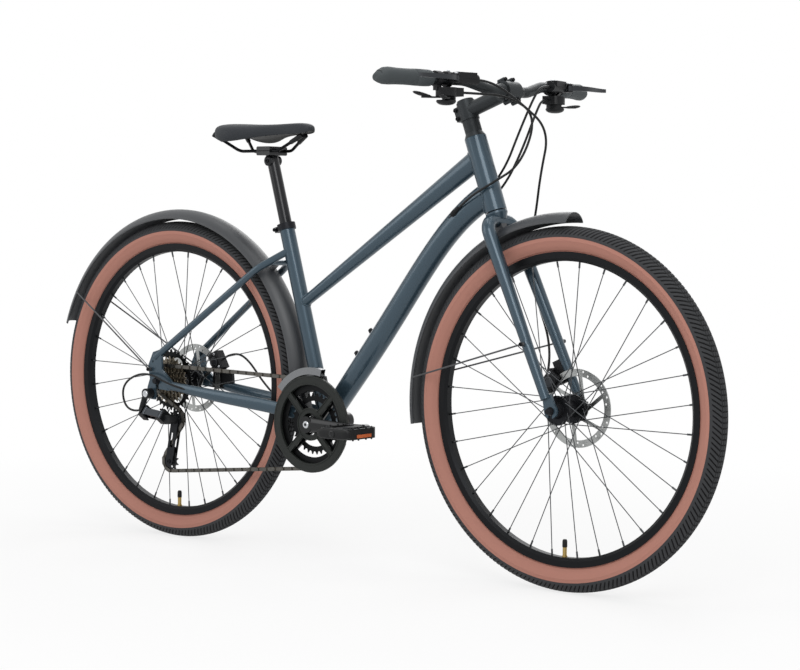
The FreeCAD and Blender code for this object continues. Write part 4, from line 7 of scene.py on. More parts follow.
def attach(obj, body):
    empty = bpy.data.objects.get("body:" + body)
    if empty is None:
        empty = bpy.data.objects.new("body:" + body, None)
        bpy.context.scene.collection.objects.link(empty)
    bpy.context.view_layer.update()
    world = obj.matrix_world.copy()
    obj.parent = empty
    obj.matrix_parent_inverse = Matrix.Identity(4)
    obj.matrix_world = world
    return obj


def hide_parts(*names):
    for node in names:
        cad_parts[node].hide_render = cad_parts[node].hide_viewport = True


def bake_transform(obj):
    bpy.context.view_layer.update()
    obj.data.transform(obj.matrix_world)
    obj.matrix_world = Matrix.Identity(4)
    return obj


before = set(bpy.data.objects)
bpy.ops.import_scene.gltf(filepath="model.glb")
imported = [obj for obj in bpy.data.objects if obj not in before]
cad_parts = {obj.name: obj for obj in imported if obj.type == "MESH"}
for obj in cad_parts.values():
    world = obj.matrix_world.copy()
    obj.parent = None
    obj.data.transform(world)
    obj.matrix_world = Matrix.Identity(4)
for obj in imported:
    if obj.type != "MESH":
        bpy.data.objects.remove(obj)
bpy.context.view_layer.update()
scene = bpy.context.scene
scene.view_settings.view_transform = "Standard"

# The photographer's stand: a long lens at saddle height, ahead of the bicycle and on its right.
# The lens looks a few degrees down, and the picture is a little off the optical axis.
PICTURE_WIDTH = 800
PICTURE_HEIGHT = 670
LENS_PIXELS = 2087.8
OPTICAL_CENTRE = (405.72, 334.59)
CAMERA_PLACE = (2.9359, -3.4404, 0.7558)
CAMERA_YAW = radians(129.149)
CAMERA_PITCH = radians(-3.288)
CAMERA_ROLL = radians(0.465)
UP = Vector((0, 0, 1))
camera_data = bpy.data.cameras.new("photo_camera")
camera_data.sensor_width = 36.0
camera_data.lens = LENS_PIXELS / PICTURE_WIDTH * camera_data.sensor_width
camera_data.shift_x = -(OPTICAL_CENTRE[0] - PICTURE_WIDTH / 2) / PICTURE_WIDTH
camera_data.shift_y = (OPTICAL_CENTRE[1] - PICTURE_HEIGHT / 2) / PICTURE_WIDTH
camera = bpy.data.objects.new("photo_camera", camera_data)
scene.collection.objects.link(camera)
ground = cos(CAMERA_PITCH)
look = Vector((cos(CAMERA_YAW) * ground, sin(CAMERA_YAW) * ground, sin(CAMERA_PITCH)))
level = look.cross(UP).normalized()
rise = level.cross(look)
right = level * cos(CAMERA_ROLL) + rise * sin(CAMERA_ROLL)
top = rise * cos(CAMERA_ROLL) - level * sin(CAMERA_ROLL)
camera_turn = Matrix((right, top, -look)).transposed()
camera.matrix_world = Matrix.Translation(CAMERA_PLACE) @ camera_turn.to_4x4()
scene.camera = camera

# A pale studio: a sweep of white paper, a large soft key on the camera's side, a fill, a rim and a top light.
# The paper and the room beyond look white to the camera and in the paint, and light the bicycle only mildly.
FLOOR_HALF = 14.0
SHADOW_NEAR = 0.9
SHADOW_FAR = 2.2
WHITE_OVER_SHADOW = 0.76
ROOM_LIGHT = 0.42
WHITE = (1, 1, 1, 1)


def linear(code):
    """Linear colour from an sRGB hex code."""
    parts = [int(code[i:i + 2], 16) / 255 for i in (1, 3, 5)]
    return tuple(p / 12.92 if p <= 0.04045 else ((p + 0.055) / 1.055) ** 2.4 for p in parts) + (1.0,)


def add(tree, kind, links=(), **settings):
    """One shader node: settings are its values, by socket name or by property, and links feed its sockets."""
    node = tree.nodes.new(kind)
    for name, value in settings.items():
        if hasattr(node, name):
            setattr(node, name, value)
        else:
            node.inputs[name.replace("_", " ")].default_value = value
    for source, output, socket in links:
        tree.links.new(source.outputs[output], node.inputs[socket])
    return node


def seen_directly(tree):
    """Node that gives 1 to what the camera, a mirror or glass shows, and 0 to what lights the bicycle."""
    path = add(tree, "ShaderNodeLightPath")
    seen = add(tree, "ShaderNodeMath", [(path, "Is Camera Ray", 0), (path, "Is Glossy Ray", 1)],
               operation="MAXIMUM")
    return add(tree, "ShaderNodeMath", [(seen, 0, 0), (path, "Is Transmission Ray", 1)], operation="MAXIMUM")


floor_corners = [(x * FLOOR_HALF, y * FLOOR_HALF, 0) for x, y in ((-1, -1), (1, -1), (1, 1), (-1, 1))]
floor_mesh = bpy.data.meshes.new("studio_floor")
floor_mesh.from_pydata(floor_corners, [], [(0, 1, 2, 3)])
floor = bpy.data.objects.new("studio_floor", floor_mesh)
scene.collection.objects.link(floor)
# White paper: matt and even, with the bicycle's soft shadow near it and plain white farther out.
paper = bpy.data.materials.new("white paper sweep")
paper.use_nodes = True
paper_tree = paper.node_tree
paper_tree.nodes.clear()
paper_shade = add(paper_tree, "ShaderNodeBsdfDiffuse", Color=linear("#f4f4f4"))
paper_glow = add(paper_tree, "ShaderNodeEmission", Color=WHITE, Strength=1.0)
paper_place = add(paper_tree, "ShaderNodeNewGeometry")
paper_far = add(paper_tree, "ShaderNodeVectorMath", [(paper_place, "Position", 0)], operation="LENGTH")
paper_fade = add(paper_tree, "ShaderNodeMapRange", [(paper_far, "Value", "Value")],
                 From_Min=SHADOW_NEAR, From_Max=SHADOW_FAR, To_Min=WHITE_OVER_SHADOW, To_Max=1.0)
paper_share = add(paper_tree, "ShaderNodeMath", [(seen_directly(paper_tree), 0, 0), (paper_fade, 0, 1)],
                  operation="MULTIPLY")
paper_mix = add(paper_tree, "ShaderNodeMixShader",
                [(paper_share, 0, 0), (paper_shade, 0, 1), (paper_glow, 0, 2)])
add(paper_tree, "ShaderNodeOutputMaterial", [(paper_mix, 0, "Surface")])
floor_mesh.materials.append(paper)
world = bpy.data.worlds.new("studio_world")
scene.world = world
world.use_nodes = True
world_tree = world.node_tree
world_tree.nodes.clear()
room_dim = add(world_tree, "ShaderNodeBackground", Color=WHITE, Strength=ROOM_LIGHT)
room_white = add(world_tree, "ShaderNodeBackground", Color=WHITE, Strength=1.0)
room_mix = add(world_tree, "ShaderNodeMixShader",
               [(seen_directly(world_tree), 0, 0), (room_dim, 0, 1), (room_white, 0, 2)])
add(world_tree, "ShaderNodeOutputWorld", [(room_mix, 0, "Surface")])


def lamp(name, place, target, size, watts):
    """Square soft box aimed at a point."""
    data = bpy.data.lights.new(name, "AREA")
    data.size = size
    data.energy = watts
    light = bpy.data.objects.new(name, data)
    light.location = place
    light.rotation_euler = (Vector(target) - Vector(place)).to_track_quat("-Z", "Y").to_euler()
    scene.collection.objects.link(light)


lamp("key_light", (2.6, -3.0, 3.4), (0, 0, 0.5), size=2.4, watts=78)
lamp("fill_light", (-3.0, -3.2, 2.2), (0, 0, 0.5), size=2.6, watts=32)
lamp("rim_light", (-1.5, 3.4, 3.0), (0, 0, 0.6), size=2.4, watts=42)
lamp("top_light", (0.2, 0.2, 4.2), (0, 0, 0.4), size=3.0, watts=55)

# Frame: welded aluminium tubes under slate blue metallic lacquer, with fish scale beads at the head tube,
# two button screws in the bottle bosses and rubber boots where the cables go into the down tube.
# Sizes are in millimetres here and below, and functions turn them to metres.
WHEELBASE = 1097.0
TYRE_RADIUS = 368.0
REAR_AXLE_X = -544.405
CHAINSTAY_RUN = 458.0
BRACKET_DROP = 70.0
HEAD_LEAN = radians(20)
HEAD_START = 434.0
HEAD_END = 595.0
HEAD_TUBE_RADIUS = 23.0
FORK_RAKE = 35.0
SEAT_LEAN = radians(16)
SEAT_TUBE_RADIUS = 17.0
DOWN_TUBE_ANGLE = radians(52)
DOWN_TUBE_STRAIGHT = 520.0
DOWN_TUBE_ABOVE_HEAD_START = 39.0
TOP_TUBE_BELOW_HEAD_END = 41.0
TOP_TUBE_ON_SEAT = 268.0
LEFT = Vector((0, 1, 0))
# A surface more metallic than this is bare metal, and keeps the default specular level
BARE_METAL = 0.85
DEFAULT_SPECULAR = 0.5
DULL_SPECULAR = 0.22
# Cosines between the true side and the rounded one at which the paler edge starts and is full.
# The paler edge is worn on some parts and a painted highlight on others.
EDGE_PALE_START = 0.97
EDGE_PALE_FULL = 0.8
GLOSS_SPREAD = 0.15


def surface(name, code, rough, metal=0.0, grain=3.0, spread=0.08, relief=0.02, edge=0.4, wear_and_highlight=0.0,
            turned=None, far=None, **more):
    """Material of one shader. Noise of the grain's size varies tone, by the spread, and gloss and relief.

    Edges look rounded by the edge's millimetres, and are painted paler by the given share: worn on
    some parts, and a painted highlight on others, such as the cranks and the chain guard. Turned is a
    point in metres: the grain runs in rings about it, across the bicycle. Far is (colour, y, distance): a
    second colour beyond that distance from the plane at y. A skin is dull unless its Specular_IOR_Level
    says otherwise, since a white room all round greys a shiny black."""
    more.setdefault("Specular_IOR_Level", DEFAULT_SPECULAR if metal > BARE_METAL else DULL_SPECULAR)
    material = bpy.data.materials.new(name)
    material.use_nodes = True
    tree = material.node_tree
    tree.nodes.clear()
    place = add(tree, "ShaderNodeTexCoord")
    noise = add(tree, "ShaderNodeTexNoise", [(place, "Object", "Vector")], Scale=1000 / grain, Detail=4.0)
    if turned is not None:
        arm = add(tree, "ShaderNodeVectorMath", [(place, "Object", 0)], operation="SUBTRACT")
        arm.inputs[1].default_value = turned
        flat = add(tree, "ShaderNodeVectorMath", [(arm, 0, 0)], operation="MULTIPLY")
        flat.inputs[1].default_value = (1, 0, 1)
        reach = add(tree, "ShaderNodeVectorMath", [(flat, 0, 0)], operation="LENGTH")
        tree.links.new(reach.outputs["Value"], noise.inputs["Vector"])
    soft_edge = add(tree, "ShaderNodeBevel", Radius=edge / 1000, samples=4)
    true_side = add(tree, "ShaderNodeNewGeometry")
    turn = add(tree, "ShaderNodeVectorMath", [(soft_edge, 0, 0), (true_side, "Normal", 1)],
               operation="DOT_PRODUCT")
    # Paler edges: worn on some parts, and a painted highlight on the cranks and the chain guard's lips
    paler_edge = add(tree, "ShaderNodeMapRange", [(turn, "Value", "Value")],
               From_Min=EDGE_PALE_START, From_Max=EDGE_PALE_FULL, To_Max=wear_and_highlight)
    shade = add(tree, "ShaderNodeMapRange", [(noise, "Fac", "Value")], To_Min=1 - spread, To_Max=1 + spread)
    value = add(tree, "ShaderNodeMath", [(shade, 0, 0), (paler_edge, 0, 1)], operation="ADD")
    tone = add(tree, "ShaderNodeHueSaturation", [(value, 0, "Value")], Color=linear(code))
    if far is not None:
        second, plane, distance = far
        parts = add(tree, "ShaderNodeSeparateXYZ", [(place, "Object", "Vector")])
        away = add(tree, "ShaderNodeMath", [(parts, "Y", 0)], operation="SUBTRACT")
        away.inputs[1].default_value = plane / 1000
        off = add(tree, "ShaderNodeMath", [(away, 0, 0)], operation="ABSOLUTE")
        beyond = add(tree, "ShaderNodeMath", [(off, 0, 0)], operation="GREATER_THAN")
        beyond.inputs[1].default_value = distance / 1000
        pair = add(tree, "ShaderNodeMixRGB", [(beyond, 0, "Fac")], Color1=linear(code), Color2=linear(second))
        tree.links.new(pair.outputs[0], tone.inputs["Color"])
    gloss = add(tree, "ShaderNodeMapRange", [(noise, "Fac", "Value")],
                To_Min=rough * (1 - GLOSS_SPREAD), To_Max=rough * (1 + GLOSS_SPREAD))
    bump = add(tree, "ShaderNodeBump", [(noise, "Fac", "Height"), (soft_edge, 0, "Normal")],
               Distance=relief / 1000)
    shader = add(tree, "ShaderNodeBsdfPrincipled",
                 [(tone, 0, "Base Color"), (gloss, 0, "Roughness"), (bump, 0, "Normal")],
                 Metallic=metal, **more)
    add(tree, "ShaderNodeOutputMaterial", [(shader, 0, "Surface")])
    return material


def finish(material, *names):
    """Give CAD nodes one material."""
    for name in names:
        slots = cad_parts[name].data.materials
        slots.clear()
        slots.append(material)


def rear(x, y, z):
    """Point in metres from millimetres measured from the middle of the rear axle."""
    return Vector((x + REAR_AXLE_X, y, z + TYRE_RADIUS)) / 1000


def steer(along, forward, y):
    """Point in metres from millimetres along the steering axis and square to it."""
    across = forward - FORK_RAKE
    x = across * cos(HEAD_LEAN) - along * sin(HEAD_LEAN)
    z = across * sin(HEAD_LEAN) + along * cos(HEAD_LEAN)
    return rear(WHEELBASE + x, y, z)


def ring_faces(rings, sides, hoop=False, flip=False):
    """Faces over rings of points, closed at both ends, or a hoop whose last ring meets the first."""
    faces = []
    for ring in range(rings if hoop else rings - 1):
        after = (ring + 1) % rings
        for i in range(sides):
            j = (i + 1) % sides
            faces.append((ring * sides + i, ring * sides + j, after * sides + j, after * sides + i))
    if not hoop:
        faces.append(tuple(reversed(range(sides))))
        faces.append(tuple(range((rings - 1) * sides, rings * sides)))
    return [face[::-1] for face in faces] if flip else faces


def lathe(profile, place, direction, sides=24, hoop=False):
    """Rings turned about a direction. A ring is (mm along, mm radius), and a True makes it a hexagon."""
    axis = Vector(direction).normalized()
    across = axis.orthogonal().normalized()
    around = axis.cross(across)
    points = []
    for along, radius, *hexagon in profile:
        for i in range(sides):
            turn = 2 * pi * i / sides
            reach = radius / 1000
            if hexagon:
                reach *= cos(pi / 6) / cos(turn % (pi / 3) - pi / 6)
            outward = across * cos(turn) + around * sin(turn)
            points.append(place + axis * (along / 1000) + outward * reach)
    return points, ring_faces(len(profile), sides, hoop)


def shape(name, groups, material, body, sharp=40):
    """One piece from groups of vertices and faces, smooth up to an angle, riding on a body."""
    points, faces = [], []
    for group_points, group_faces in groups:
        start = len(points)
        points.extend(group_points)
        faces.extend(tuple(start + i for i in face) for face in group_faces)
    mesh = bpy.data.meshes.new(name)
    mesh.from_pydata([tuple(p) for p in points], [], faces)
    mesh.shade_smooth()
    mesh.set_sharp_from_angle(angle=radians(sharp))
    mesh.materials.append(material)
    piece = bpy.data.objects.new(name, mesh)
    scene.collection.objects.link(piece)
    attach(piece, body)
    return piece


def screw(place, direction, head):
    """Socket screw with a hexagon hole. Its head is (mm radius, mm height)."""
    radius, height = head
    chamfer = 0.15 * radius
    hole = 0.5 * radius
    hole_floor = 0.4 * height
    profile = [(0, radius), (height - chamfer, radius), (height, radius - chamfer)]
    profile += [(height, hole, True), (hole_floor, hole, True)]
    return lathe(profile, place, direction)


# One weld bead: mm along the seam, mm radius
BEAD = [(-2.6, 0.5), (-1.7, 1.7), (-0.2, 2.3), (1.4, 1.8), (2.4, 0.6)]


def weld(centre, along, halves, core_radius, core_axis, count):
    """Beads round the mitre of an oval tube against a round one. Halves are its half width and height."""
    along = along.normalized()
    rise = along.cross(LEFT)
    seam = []
    for i in range(count):
        turn = 2 * pi * i / count
        start = LEFT * (halves[0] * cos(turn)) + rise * (halves[1] * sin(turn))
        flat_start = start - core_axis * start.dot(core_axis)
        flat_along = along - core_axis * along.dot(core_axis)
        a = flat_along.length_squared
        b = flat_start.dot(flat_along)
        c = flat_start.length_squared - core_radius ** 2
        reach = (-b + sqrt(max(b * b - a * c, 0))) / a
        seam.append(centre + (start + along * reach) / 1000)
    beads = []
    for before, here, after in zip(seam[-1:] + seam[:-1], seam, seam[1:] + seam[:1]):
        beads.append(lathe(BEAD, here, after - before, sides=10))
    return beads


# Slate blue metallic lacquer: fine flakes sparkle under a clear coat that mirrors the room along the tubes.
# The flakes are 0.05 mm, and are drawn ten times coarser to show.
slate_lacquer = surface("slate blue metallic lacquer", "#394b57", 0.3, metal=0.4, grain=0.5, spread=0.10,
                        relief=0.004, Coat_Weight=0.45, Coat_Roughness=0.06)
finish(slate_lacquer, "main_frame", "rear_stays", "fork")
steer_up = (steer(1, 0, 0) - steer(0, 0, 0)).normalized()
steer_forward = (steer(0, 1, 0) - steer(0, 0, 0)).normalized()
bracket_centre = rear(CHAINSTAY_RUN, 0, -BRACKET_DROP)
seat_up = Vector((-sin(SEAT_LEAN), 0, cos(SEAT_LEAN)))
down_direction = Vector((cos(DOWN_TUBE_ANGLE), 0, sin(DOWN_TUBE_ANGLE)))
down_normal = Vector((-down_direction.z, 0, down_direction.x))
down_corner = bracket_centre + down_direction * (DOWN_TUBE_STRAIGHT / 1000)
down_head = steer(HEAD_START + DOWN_TUBE_ABOVE_HEAD_START, 0, 0)
top_head = steer(HEAD_END - TOP_TUBE_BELOW_HEAD_END, 0, 0)
top_seat = bracket_centre + seat_up * (TOP_TUBE_ON_SEAT / 1000)
# Half width and half height of each tube at its seam
TOP_AT_HEAD = (17.9, 22.2)
DOWN_AT_HEAD = (22.1, 28.0)
TOP_AT_SEAT = (13.6, 11.6)
seams = weld(top_head, top_seat - top_head, TOP_AT_HEAD, HEAD_TUBE_RADIUS, steer_up, count=44)
seams += weld(down_head, down_corner - down_head, DOWN_AT_HEAD, HEAD_TUBE_RADIUS, steer_up, count=56)
seams += weld(top_seat, top_head - top_seat, TOP_AT_SEAT, SEAT_TUBE_RADIUS, seat_up, count=28)
shape("weld_beads", seams, slate_lacquer, "frame", sharp=60)
# Blackened steel: dark and half bright, with paler corners where a key has turned it.
black_screw = surface("blackened steel screw", "#1b1c1e", 0.38, metal=0.9, grain=1.5, relief=0.005, wear_and_highlight=0.8)
BOTTLE_BOSSES = (176.0, 240.0)
BOSS_TOP = 25.5
BOTTLE_HEAD = (5.2, 5.0)
WASHER_HEIGHT = 2.8
WASHER = [(-1, 6.4), (2.2, 6.4), (WASHER_HEIGHT, 5.8)]
bottle_screws = []
for along in BOTTLE_BOSSES:
    mouth = bracket_centre + down_direction * (along / 1000) + down_normal * (BOSS_TOP / 1000)
    bottle_screws.append(lathe(WASHER, mouth, down_normal))
    bottle_screws.append(screw(mouth + down_normal * (WASHER_HEIGHT / 1000), down_normal, BOTTLE_HEAD))
shape("bottle_screws", bottle_screws, black_screw, "frame")
# Moulded rubber: matt black that swallows the highlights.
black_rubber = surface("black moulded rubber", "#17181a", 0.72, grain=1.2, relief=0.05)
# The last two points of each route into the down tube, from the rear axle
RIGHT_SHIFT_ENTRY = ((860, -31, 420), (806, -18, 378))
REAR_HOSE_ENTRY = ((850, 32, 420), (804, 18, 378))
LEFT_SHIFT_ENTRY = ((840, 39, 392), (782, 18, 352))
DOWN_TUBE_SIDE = 22.5
BOOT = [(-8, 5.5), (-2, 6.5), (3, 6.2), (7, 4.6), (16, 3.6), (18, 2.7)]
boots = []
for entry in (RIGHT_SHIFT_ENTRY, REAR_HOSE_ENTRY, LEFT_SHIFT_ENTRY):
    outer, inner = (rear(*point) for point in entry)
    share = (abs(inner.y) - DOWN_TUBE_SIDE / 1000) / (abs(inner.y) - abs(outer.y))
    boots.append(lathe(BOOT, inner + (outer - inner) * share, outer - inner))
shape("cable_boots", boots, black_rubber, "frame")

# Seat collar and bearing cups: rings turned from aluminium and anodised black.
# The cups are pressed into the tubes, and the collar's ears close on a cross bolt behind the post.
COLLAR_ALONG = 446.0
COLLAR_BOLT_BACK = 26.0
COLLAR_EAR_SIDE = 11.0
COLLAR_HEAD = (4.2, 4.0)

# Black anodised aluminium: a satin sheen with a bright thread along machined edges.
black_alloy = surface("black anodised aluminium", "#232427", 0.42, metal=0.75, grain=0.8, relief=0.006,
                      wear_and_highlight=0.9)
finish(black_alloy, "seat_clamp", "bearing_cups")
seat_back = Vector((-cos(SEAT_LEAN), 0, -sin(SEAT_LEAN)))
bolt_place = seat_up * COLLAR_ALONG + seat_back * COLLAR_BOLT_BACK - LEFT * COLLAR_EAR_SIDE
shape("collar_screw", [screw(bracket_centre + bolt_place / 1000, -LEFT, COLLAR_HEAD)], black_screw, "frame")

# Wheels: black hubs and rims, dark stainless spokes, ground steel rotors and black tyres with tan side walls.
# The tread is moulded with raked ribs from the shoulders to three rows of small blocks along the middle.
# Each rotor is held to the left end of its hub by six screws.
ARC_RADIUS = 25.84
ARC_CENTRE = TYRE_RADIUS - ARC_RADIUS
BEAD_HALF = 10.4
BEAD_RADIUS = 308.3
CASING = 3.0
INNER_ANGLES = range(150, -151, -25)
TREAD_PITCHES = 216
GROOVE = 1.6
SHALLOW_GROOVE = 0.9
# Cross grooves deeper than this, in mm, get the near black skin of painted shade
GROOVE_SHADE_DEPTH = 0.5
RAKE = 17.0
RAKE_START = 24.0
TREAD_EDGE = 72.0
TAN_EDGE = 81.4
RIM_INNER_RADIUS = 298.0
VALVE_STEM = [(0, 5.5), (3, 5.5), (3, 4.3), (20, 4.3)]
VALVE_CAP = [(20, 4.9), (22, 5.2), (33, 5.0), (36, 3.4)]
ROTOR_SCREWS = 6
ROTOR_SCREW_CIRCLE = 21.0
ROTOR_SCREW_START = 0.5
ROTOR_HEAD = (3.6, 2.4)
FRONT_DISC_FACE = 40.4
REAR_DISC_FACE = 52.9

# Black anodised rim: satin, a little paler on its machined edges.
rim_alloy = surface("black anodised rim aluminium", "#1b1c1e", 0.42, metal=0.7, grain=1.0, relief=0.008,
                    wear_and_highlight=0.6)
# Spoke wire: dark stainless, drawn smooth, so that each wire is one thin grey line.
spoke_steel = surface("dark stainless spoke wire", "#47494b", 0.32, metal=0.9, grain=4.0, relief=0.002,
                      edge=0.1)
# Inner tube: dull black butyl, hidden in the tyre.
tube_rubber = surface("butyl inner tube", "#121213", 0.65, grain=1.0)
finish(black_alloy, "front_hub", "rear_hub", "front_axle", "rear_axle", "front_qr_lever", "rear_qr_lever")
finish(rim_alloy, "front_rim", "rear_rim")
finish(spoke_steel, "front_spokes", "rear_spokes")
finish(tube_rubber, "front_inner_tube", "rear_inner_tube")
# Tread rubber: dusty black grey on the blocks. The grooves are near black, which is painted shade in the
# recesses.
tread_rubber = surface("moulded tread rubber", "#3a3b3d", 0.72, grain=0.9, spread=0.12, relief=0.06, edge=0.2)
groove_shade_rubber = surface("shaded groove rubber", "#0d0d0e", 0.8, grain=0.9, spread=0.12, relief=0.02, edge=0.2)
# Tan side wall: reddish brown skin over the casing threads, matt with a faint mottle.
tan_wall = surface("tan casing rubber", "#b27e70", 0.7, grain=1.6, spread=0.06, relief=0.04, edge=0.2)
# Valve: warm brass stem under a black moulded cap.
valve_brass = surface("valve brass", "#a8905a", 0.35, metal=1.0, grain=1.0)
cap_plastic = surface("black valve cap plastic", "#151516", 0.5, grain=1.0)
# Each row of a half section: degrees from the crown, mm below the round section, mm of cross groove
half_rows = [
    (0, 0, 0.8), (7, 0, 0.8), (8.2, GROOVE, 0), (10.6, GROOVE, 0),
    (11.8, 0, SHALLOW_GROOVE), (20, 0, SHALLOW_GROOVE), (21.2, GROOVE, 0), (23.4, GROOVE, 0),
    (24.6, 0, GROOVE), (36, 0, GROOVE), (48, 0, GROOVE), (60, 0, GROOVE), (68, 0, SHALLOW_GROOVE),
    (TREAD_EDGE, 0, 0.05), (TAN_EDGE - 1.2, 0, 0), (TAN_EDGE, 0.1, 0), (TAN_EDGE + 0.4, 0.5, 0),
    (96, 0.5, 0), (97, 0.2, 0), (98, 0.2, 0), (99, 0.5, 0), (115, 0.5, 0), (132, 0.5, 0),
    (146, 0.4, 0), (148, 0.1, 0), (150, 0.1, 0), (152, 0.4, 0), (156, 0.2, 0)]
rows = [(-angle, drop, groove) for angle, drop, groove in reversed(half_rows[1:])] + half_rows
# Each column of one pitch: share of the pitch, and 1 in the cross groove
rib_columns = ((0.04, 0), (0.62, 0), (0.69, 1), (0.97, 1))
columns = [(pitch + share, deep) for pitch in range(TREAD_PITCHES) for share, deep in rib_columns]
TREAD_SKIN, TAN_SKIN, GROOVE_SHADE_SKIN = range(3)
for wheel, hub_x, disc_face in (("front", WHEELBASE, FRONT_DISC_FACE), ("rear", 0.0, REAR_DISC_FACE)):
    body = wheel + "_wheel"
    points, skins = [], []
    for step, deep in columns:
        turn = 2 * pi * step / TREAD_PITCHES
        edge = turn + RAKE / TYRE_RADIUS
        ring = []
        for angle, drop, groove in rows:
            lean = radians(angle)
            depth = ARC_RADIUS - drop - groove * deep
            raked = max(0.0, min(abs(angle), TREAD_EDGE) - RAKE_START) / (TREAD_EDGE - RAKE_START)
            ahead = turn + raked * RAKE / TYRE_RADIUS
            ring.append((depth * sin(lean), ARC_CENTRE + depth * cos(lean), ahead))
        ring += [(BEAD_HALF, BEAD_RADIUS, edge), (BEAD_HALF - CASING, BEAD_RADIUS, edge)]
        for angle in INNER_ANGLES:
            lean = radians(angle)
            depth = ARC_RADIUS - CASING
            ring.append((depth * sin(lean), ARC_CENTRE + depth * cos(lean), edge))
        ring += [(CASING - BEAD_HALF, BEAD_RADIUS, edge), (-BEAD_HALF, BEAD_RADIUS, edge)]
        points.extend(rear(hub_x + r * cos(t), y, r * sin(t)) for y, r, t in ring)
    for i, (_, deep) in enumerate(columns):
        both_deep = deep and columns[(i + 1) % len(columns)][1]
        for k in range(len(ring)):
            here = rows[min(k, len(rows) - 1)]
            there = rows[min(k + 1, len(rows) - 1)]
            skin = TREAD_SKIN
            if k >= len(rows) or abs(here[0] + there[0]) / 2 > TAN_EDGE:
                skin = TAN_SKIN
            # Faces down in the deep grooves get the near black skin: painted shade
            if min(here[1], there[1]) >= GROOVE or (both_deep and min(here[2], there[2]) > GROOVE_SHADE_DEPTH):
                skin = GROOVE_SHADE_SKIN
            skins.append(skin)
    faces = ring_faces(len(columns), len(ring), hoop=True)
    tyre = shape(wheel + "_tyre_casing", [(points, faces)], tread_rubber, body, sharp=35)
    tyre.data.materials.append(tan_wall)
    tyre.data.materials.append(groove_shade_rubber)
    tyre.data.polygons.foreach_set("material_index", skins)
    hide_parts(wheel + "_tyre")
    foot = rear(hub_x, 0, -RIM_INNER_RADIUS)
    shape(wheel + "_valve_stem", [lathe(VALVE_STEM, foot, UP)], valve_brass, body)
    shape(wheel + "_valve_cap", [lathe(VALVE_CAP, foot, UP)], cap_plastic, body)
    # Rotor: stainless plate, ground in rings, so that its light sweeps round the disc
    rotor_steel = surface(wheel + " rotor ground stainless steel", "#a3a5a4", 0.32, metal=1.0, grain=0.8,
                          spread=0.22, relief=0.012, wear_and_highlight=0.3, turned=rear(hub_x, 0, 0))
    finish(rotor_steel, wheel + "_rotor")
    rotor_screws = []
    for i in range(ROTOR_SCREWS):
        turn = 2 * pi * i / ROTOR_SCREWS + ROTOR_SCREW_START
        x = hub_x + ROTOR_SCREW_CIRCLE * cos(turn)
        z = ROTOR_SCREW_CIRCLE * sin(turn)
        rotor_screws.append(screw(rear(x, disc_face, z), LEFT, ROTOR_HEAD))
    shape(wheel + "_rotor_screws", rotor_screws, black_screw, body)

# Stem, spacers and bar: forged and drawn aluminium, shot blasted and anodised black. Four screws hold the
# faceplate over the bar, and two pinch screws close the stem behind the steerer. The bar is swept back.
STEM_MIDDLE = 653.4
STEM_LENGTH = 110.0
TOP_CAP = 677.4
LUG_UP = 22.5
LUG_SIDE = 13.0
LUG_HALF = 9.0
LUG = [(-LUG_HALF, 4.0), (1 - LUG_HALF, 5.2), (LUG_HALF - 1, 5.2), (LUG_HALF, 4.4)]
PINCH_UP = 9.0
PINCH_BACK = 22.0
PINCH_SIDE = 11.0
FACEPLATE_HEAD = (4.0, 3.6)
PINCH_HEAD = (4.2, 4.0)
TOP_CAP_HEAD = (4.5, 2.5)

# Shot blasted and anodised aluminium: a soft grey sheen with no sharp mirror.
blasted_black = surface("blasted black aluminium", "#323537", 0.44, metal=0.6, grain=0.6, spread=0.1,
                        relief=0.012, wear_and_highlight=0.5)
finish(blasted_black, "stem", "handlebar")
bar_centre = steer(STEM_MIDDLE, STEM_LENGTH, 0)
lugs, stem_screws = [], []
for up in (-LUG_UP, LUG_UP):
    for side in (-LUG_SIDE, LUG_SIDE):
        foot = bar_centre + steer_up * (up / 1000) + LEFT * (side / 1000)
        lugs.append(lathe(LUG, foot, steer_forward))
        stem_screws.append(screw(foot + steer_forward * (LUG_HALF / 1000), steer_forward, FACEPLATE_HEAD))
for up in (-PINCH_UP, PINCH_UP):
    stem_screws.append(screw(steer(STEM_MIDDLE + up, -PINCH_BACK, -PINCH_SIDE), -LEFT, PINCH_HEAD))
stem_screws.append(screw(steer(TOP_CAP, 0, 0), steer_up, TOP_CAP_HEAD))
shape("faceplate_lugs", lugs, blasted_black, "steering")
shape("stem_screws", stem_screws, black_screw, "steering")

# Grips: moulded in soft dark grey rubber with a tapered, turned down outer end and a seam before the inner
# collar. They are pushed over the outer 130 mm of the bar on each side.
BAR_HALF_WIDTH = 345.0
BAR_SWEEP = 56.0
BAR_RISE = 16.0
# Shares of the half width and the sweep at which the bar bends
BEND_WIDTH = 0.38
BEND_SWEEP = 0.22
GRIP_SIDES = 32
DROOP_START = 22.0
DROOP_RUN = 28.0
DROOP_BACK = 3.0
DROOP_DOWN = 4.0
DROOP_FLAT = 0.35
bar_end = bar_centre + Vector((-BAR_SWEEP, -BAR_HALF_WIDTH, BAR_RISE)) / 1000
bar_inward = Vector((BAR_SWEEP * (1 - BEND_SWEEP), BAR_HALF_WIDTH * (1 - BEND_WIDTH), 0)).normalized()
bar_forward = bar_inward.cross(UP)


def on_bar(inward, forward, rise, side=-1):
    """Point in metres on one half of the bar, in millimetres from its end. The right side is -1."""
    place = bar_end + (bar_inward * inward + bar_forward * forward + UP * rise) / 1000
    return Vector((place.x, -side * place.y, place.z))


SIDES = ((-1, "right"), (1, "left"))
# Soft moulded rubber: dark grey and matt, with a fine sandy touch.
grip_rubber = surface("soft grey grip rubber", "#464b4d", 0.62, grain=1.4, spread=0.1, relief=0.12)
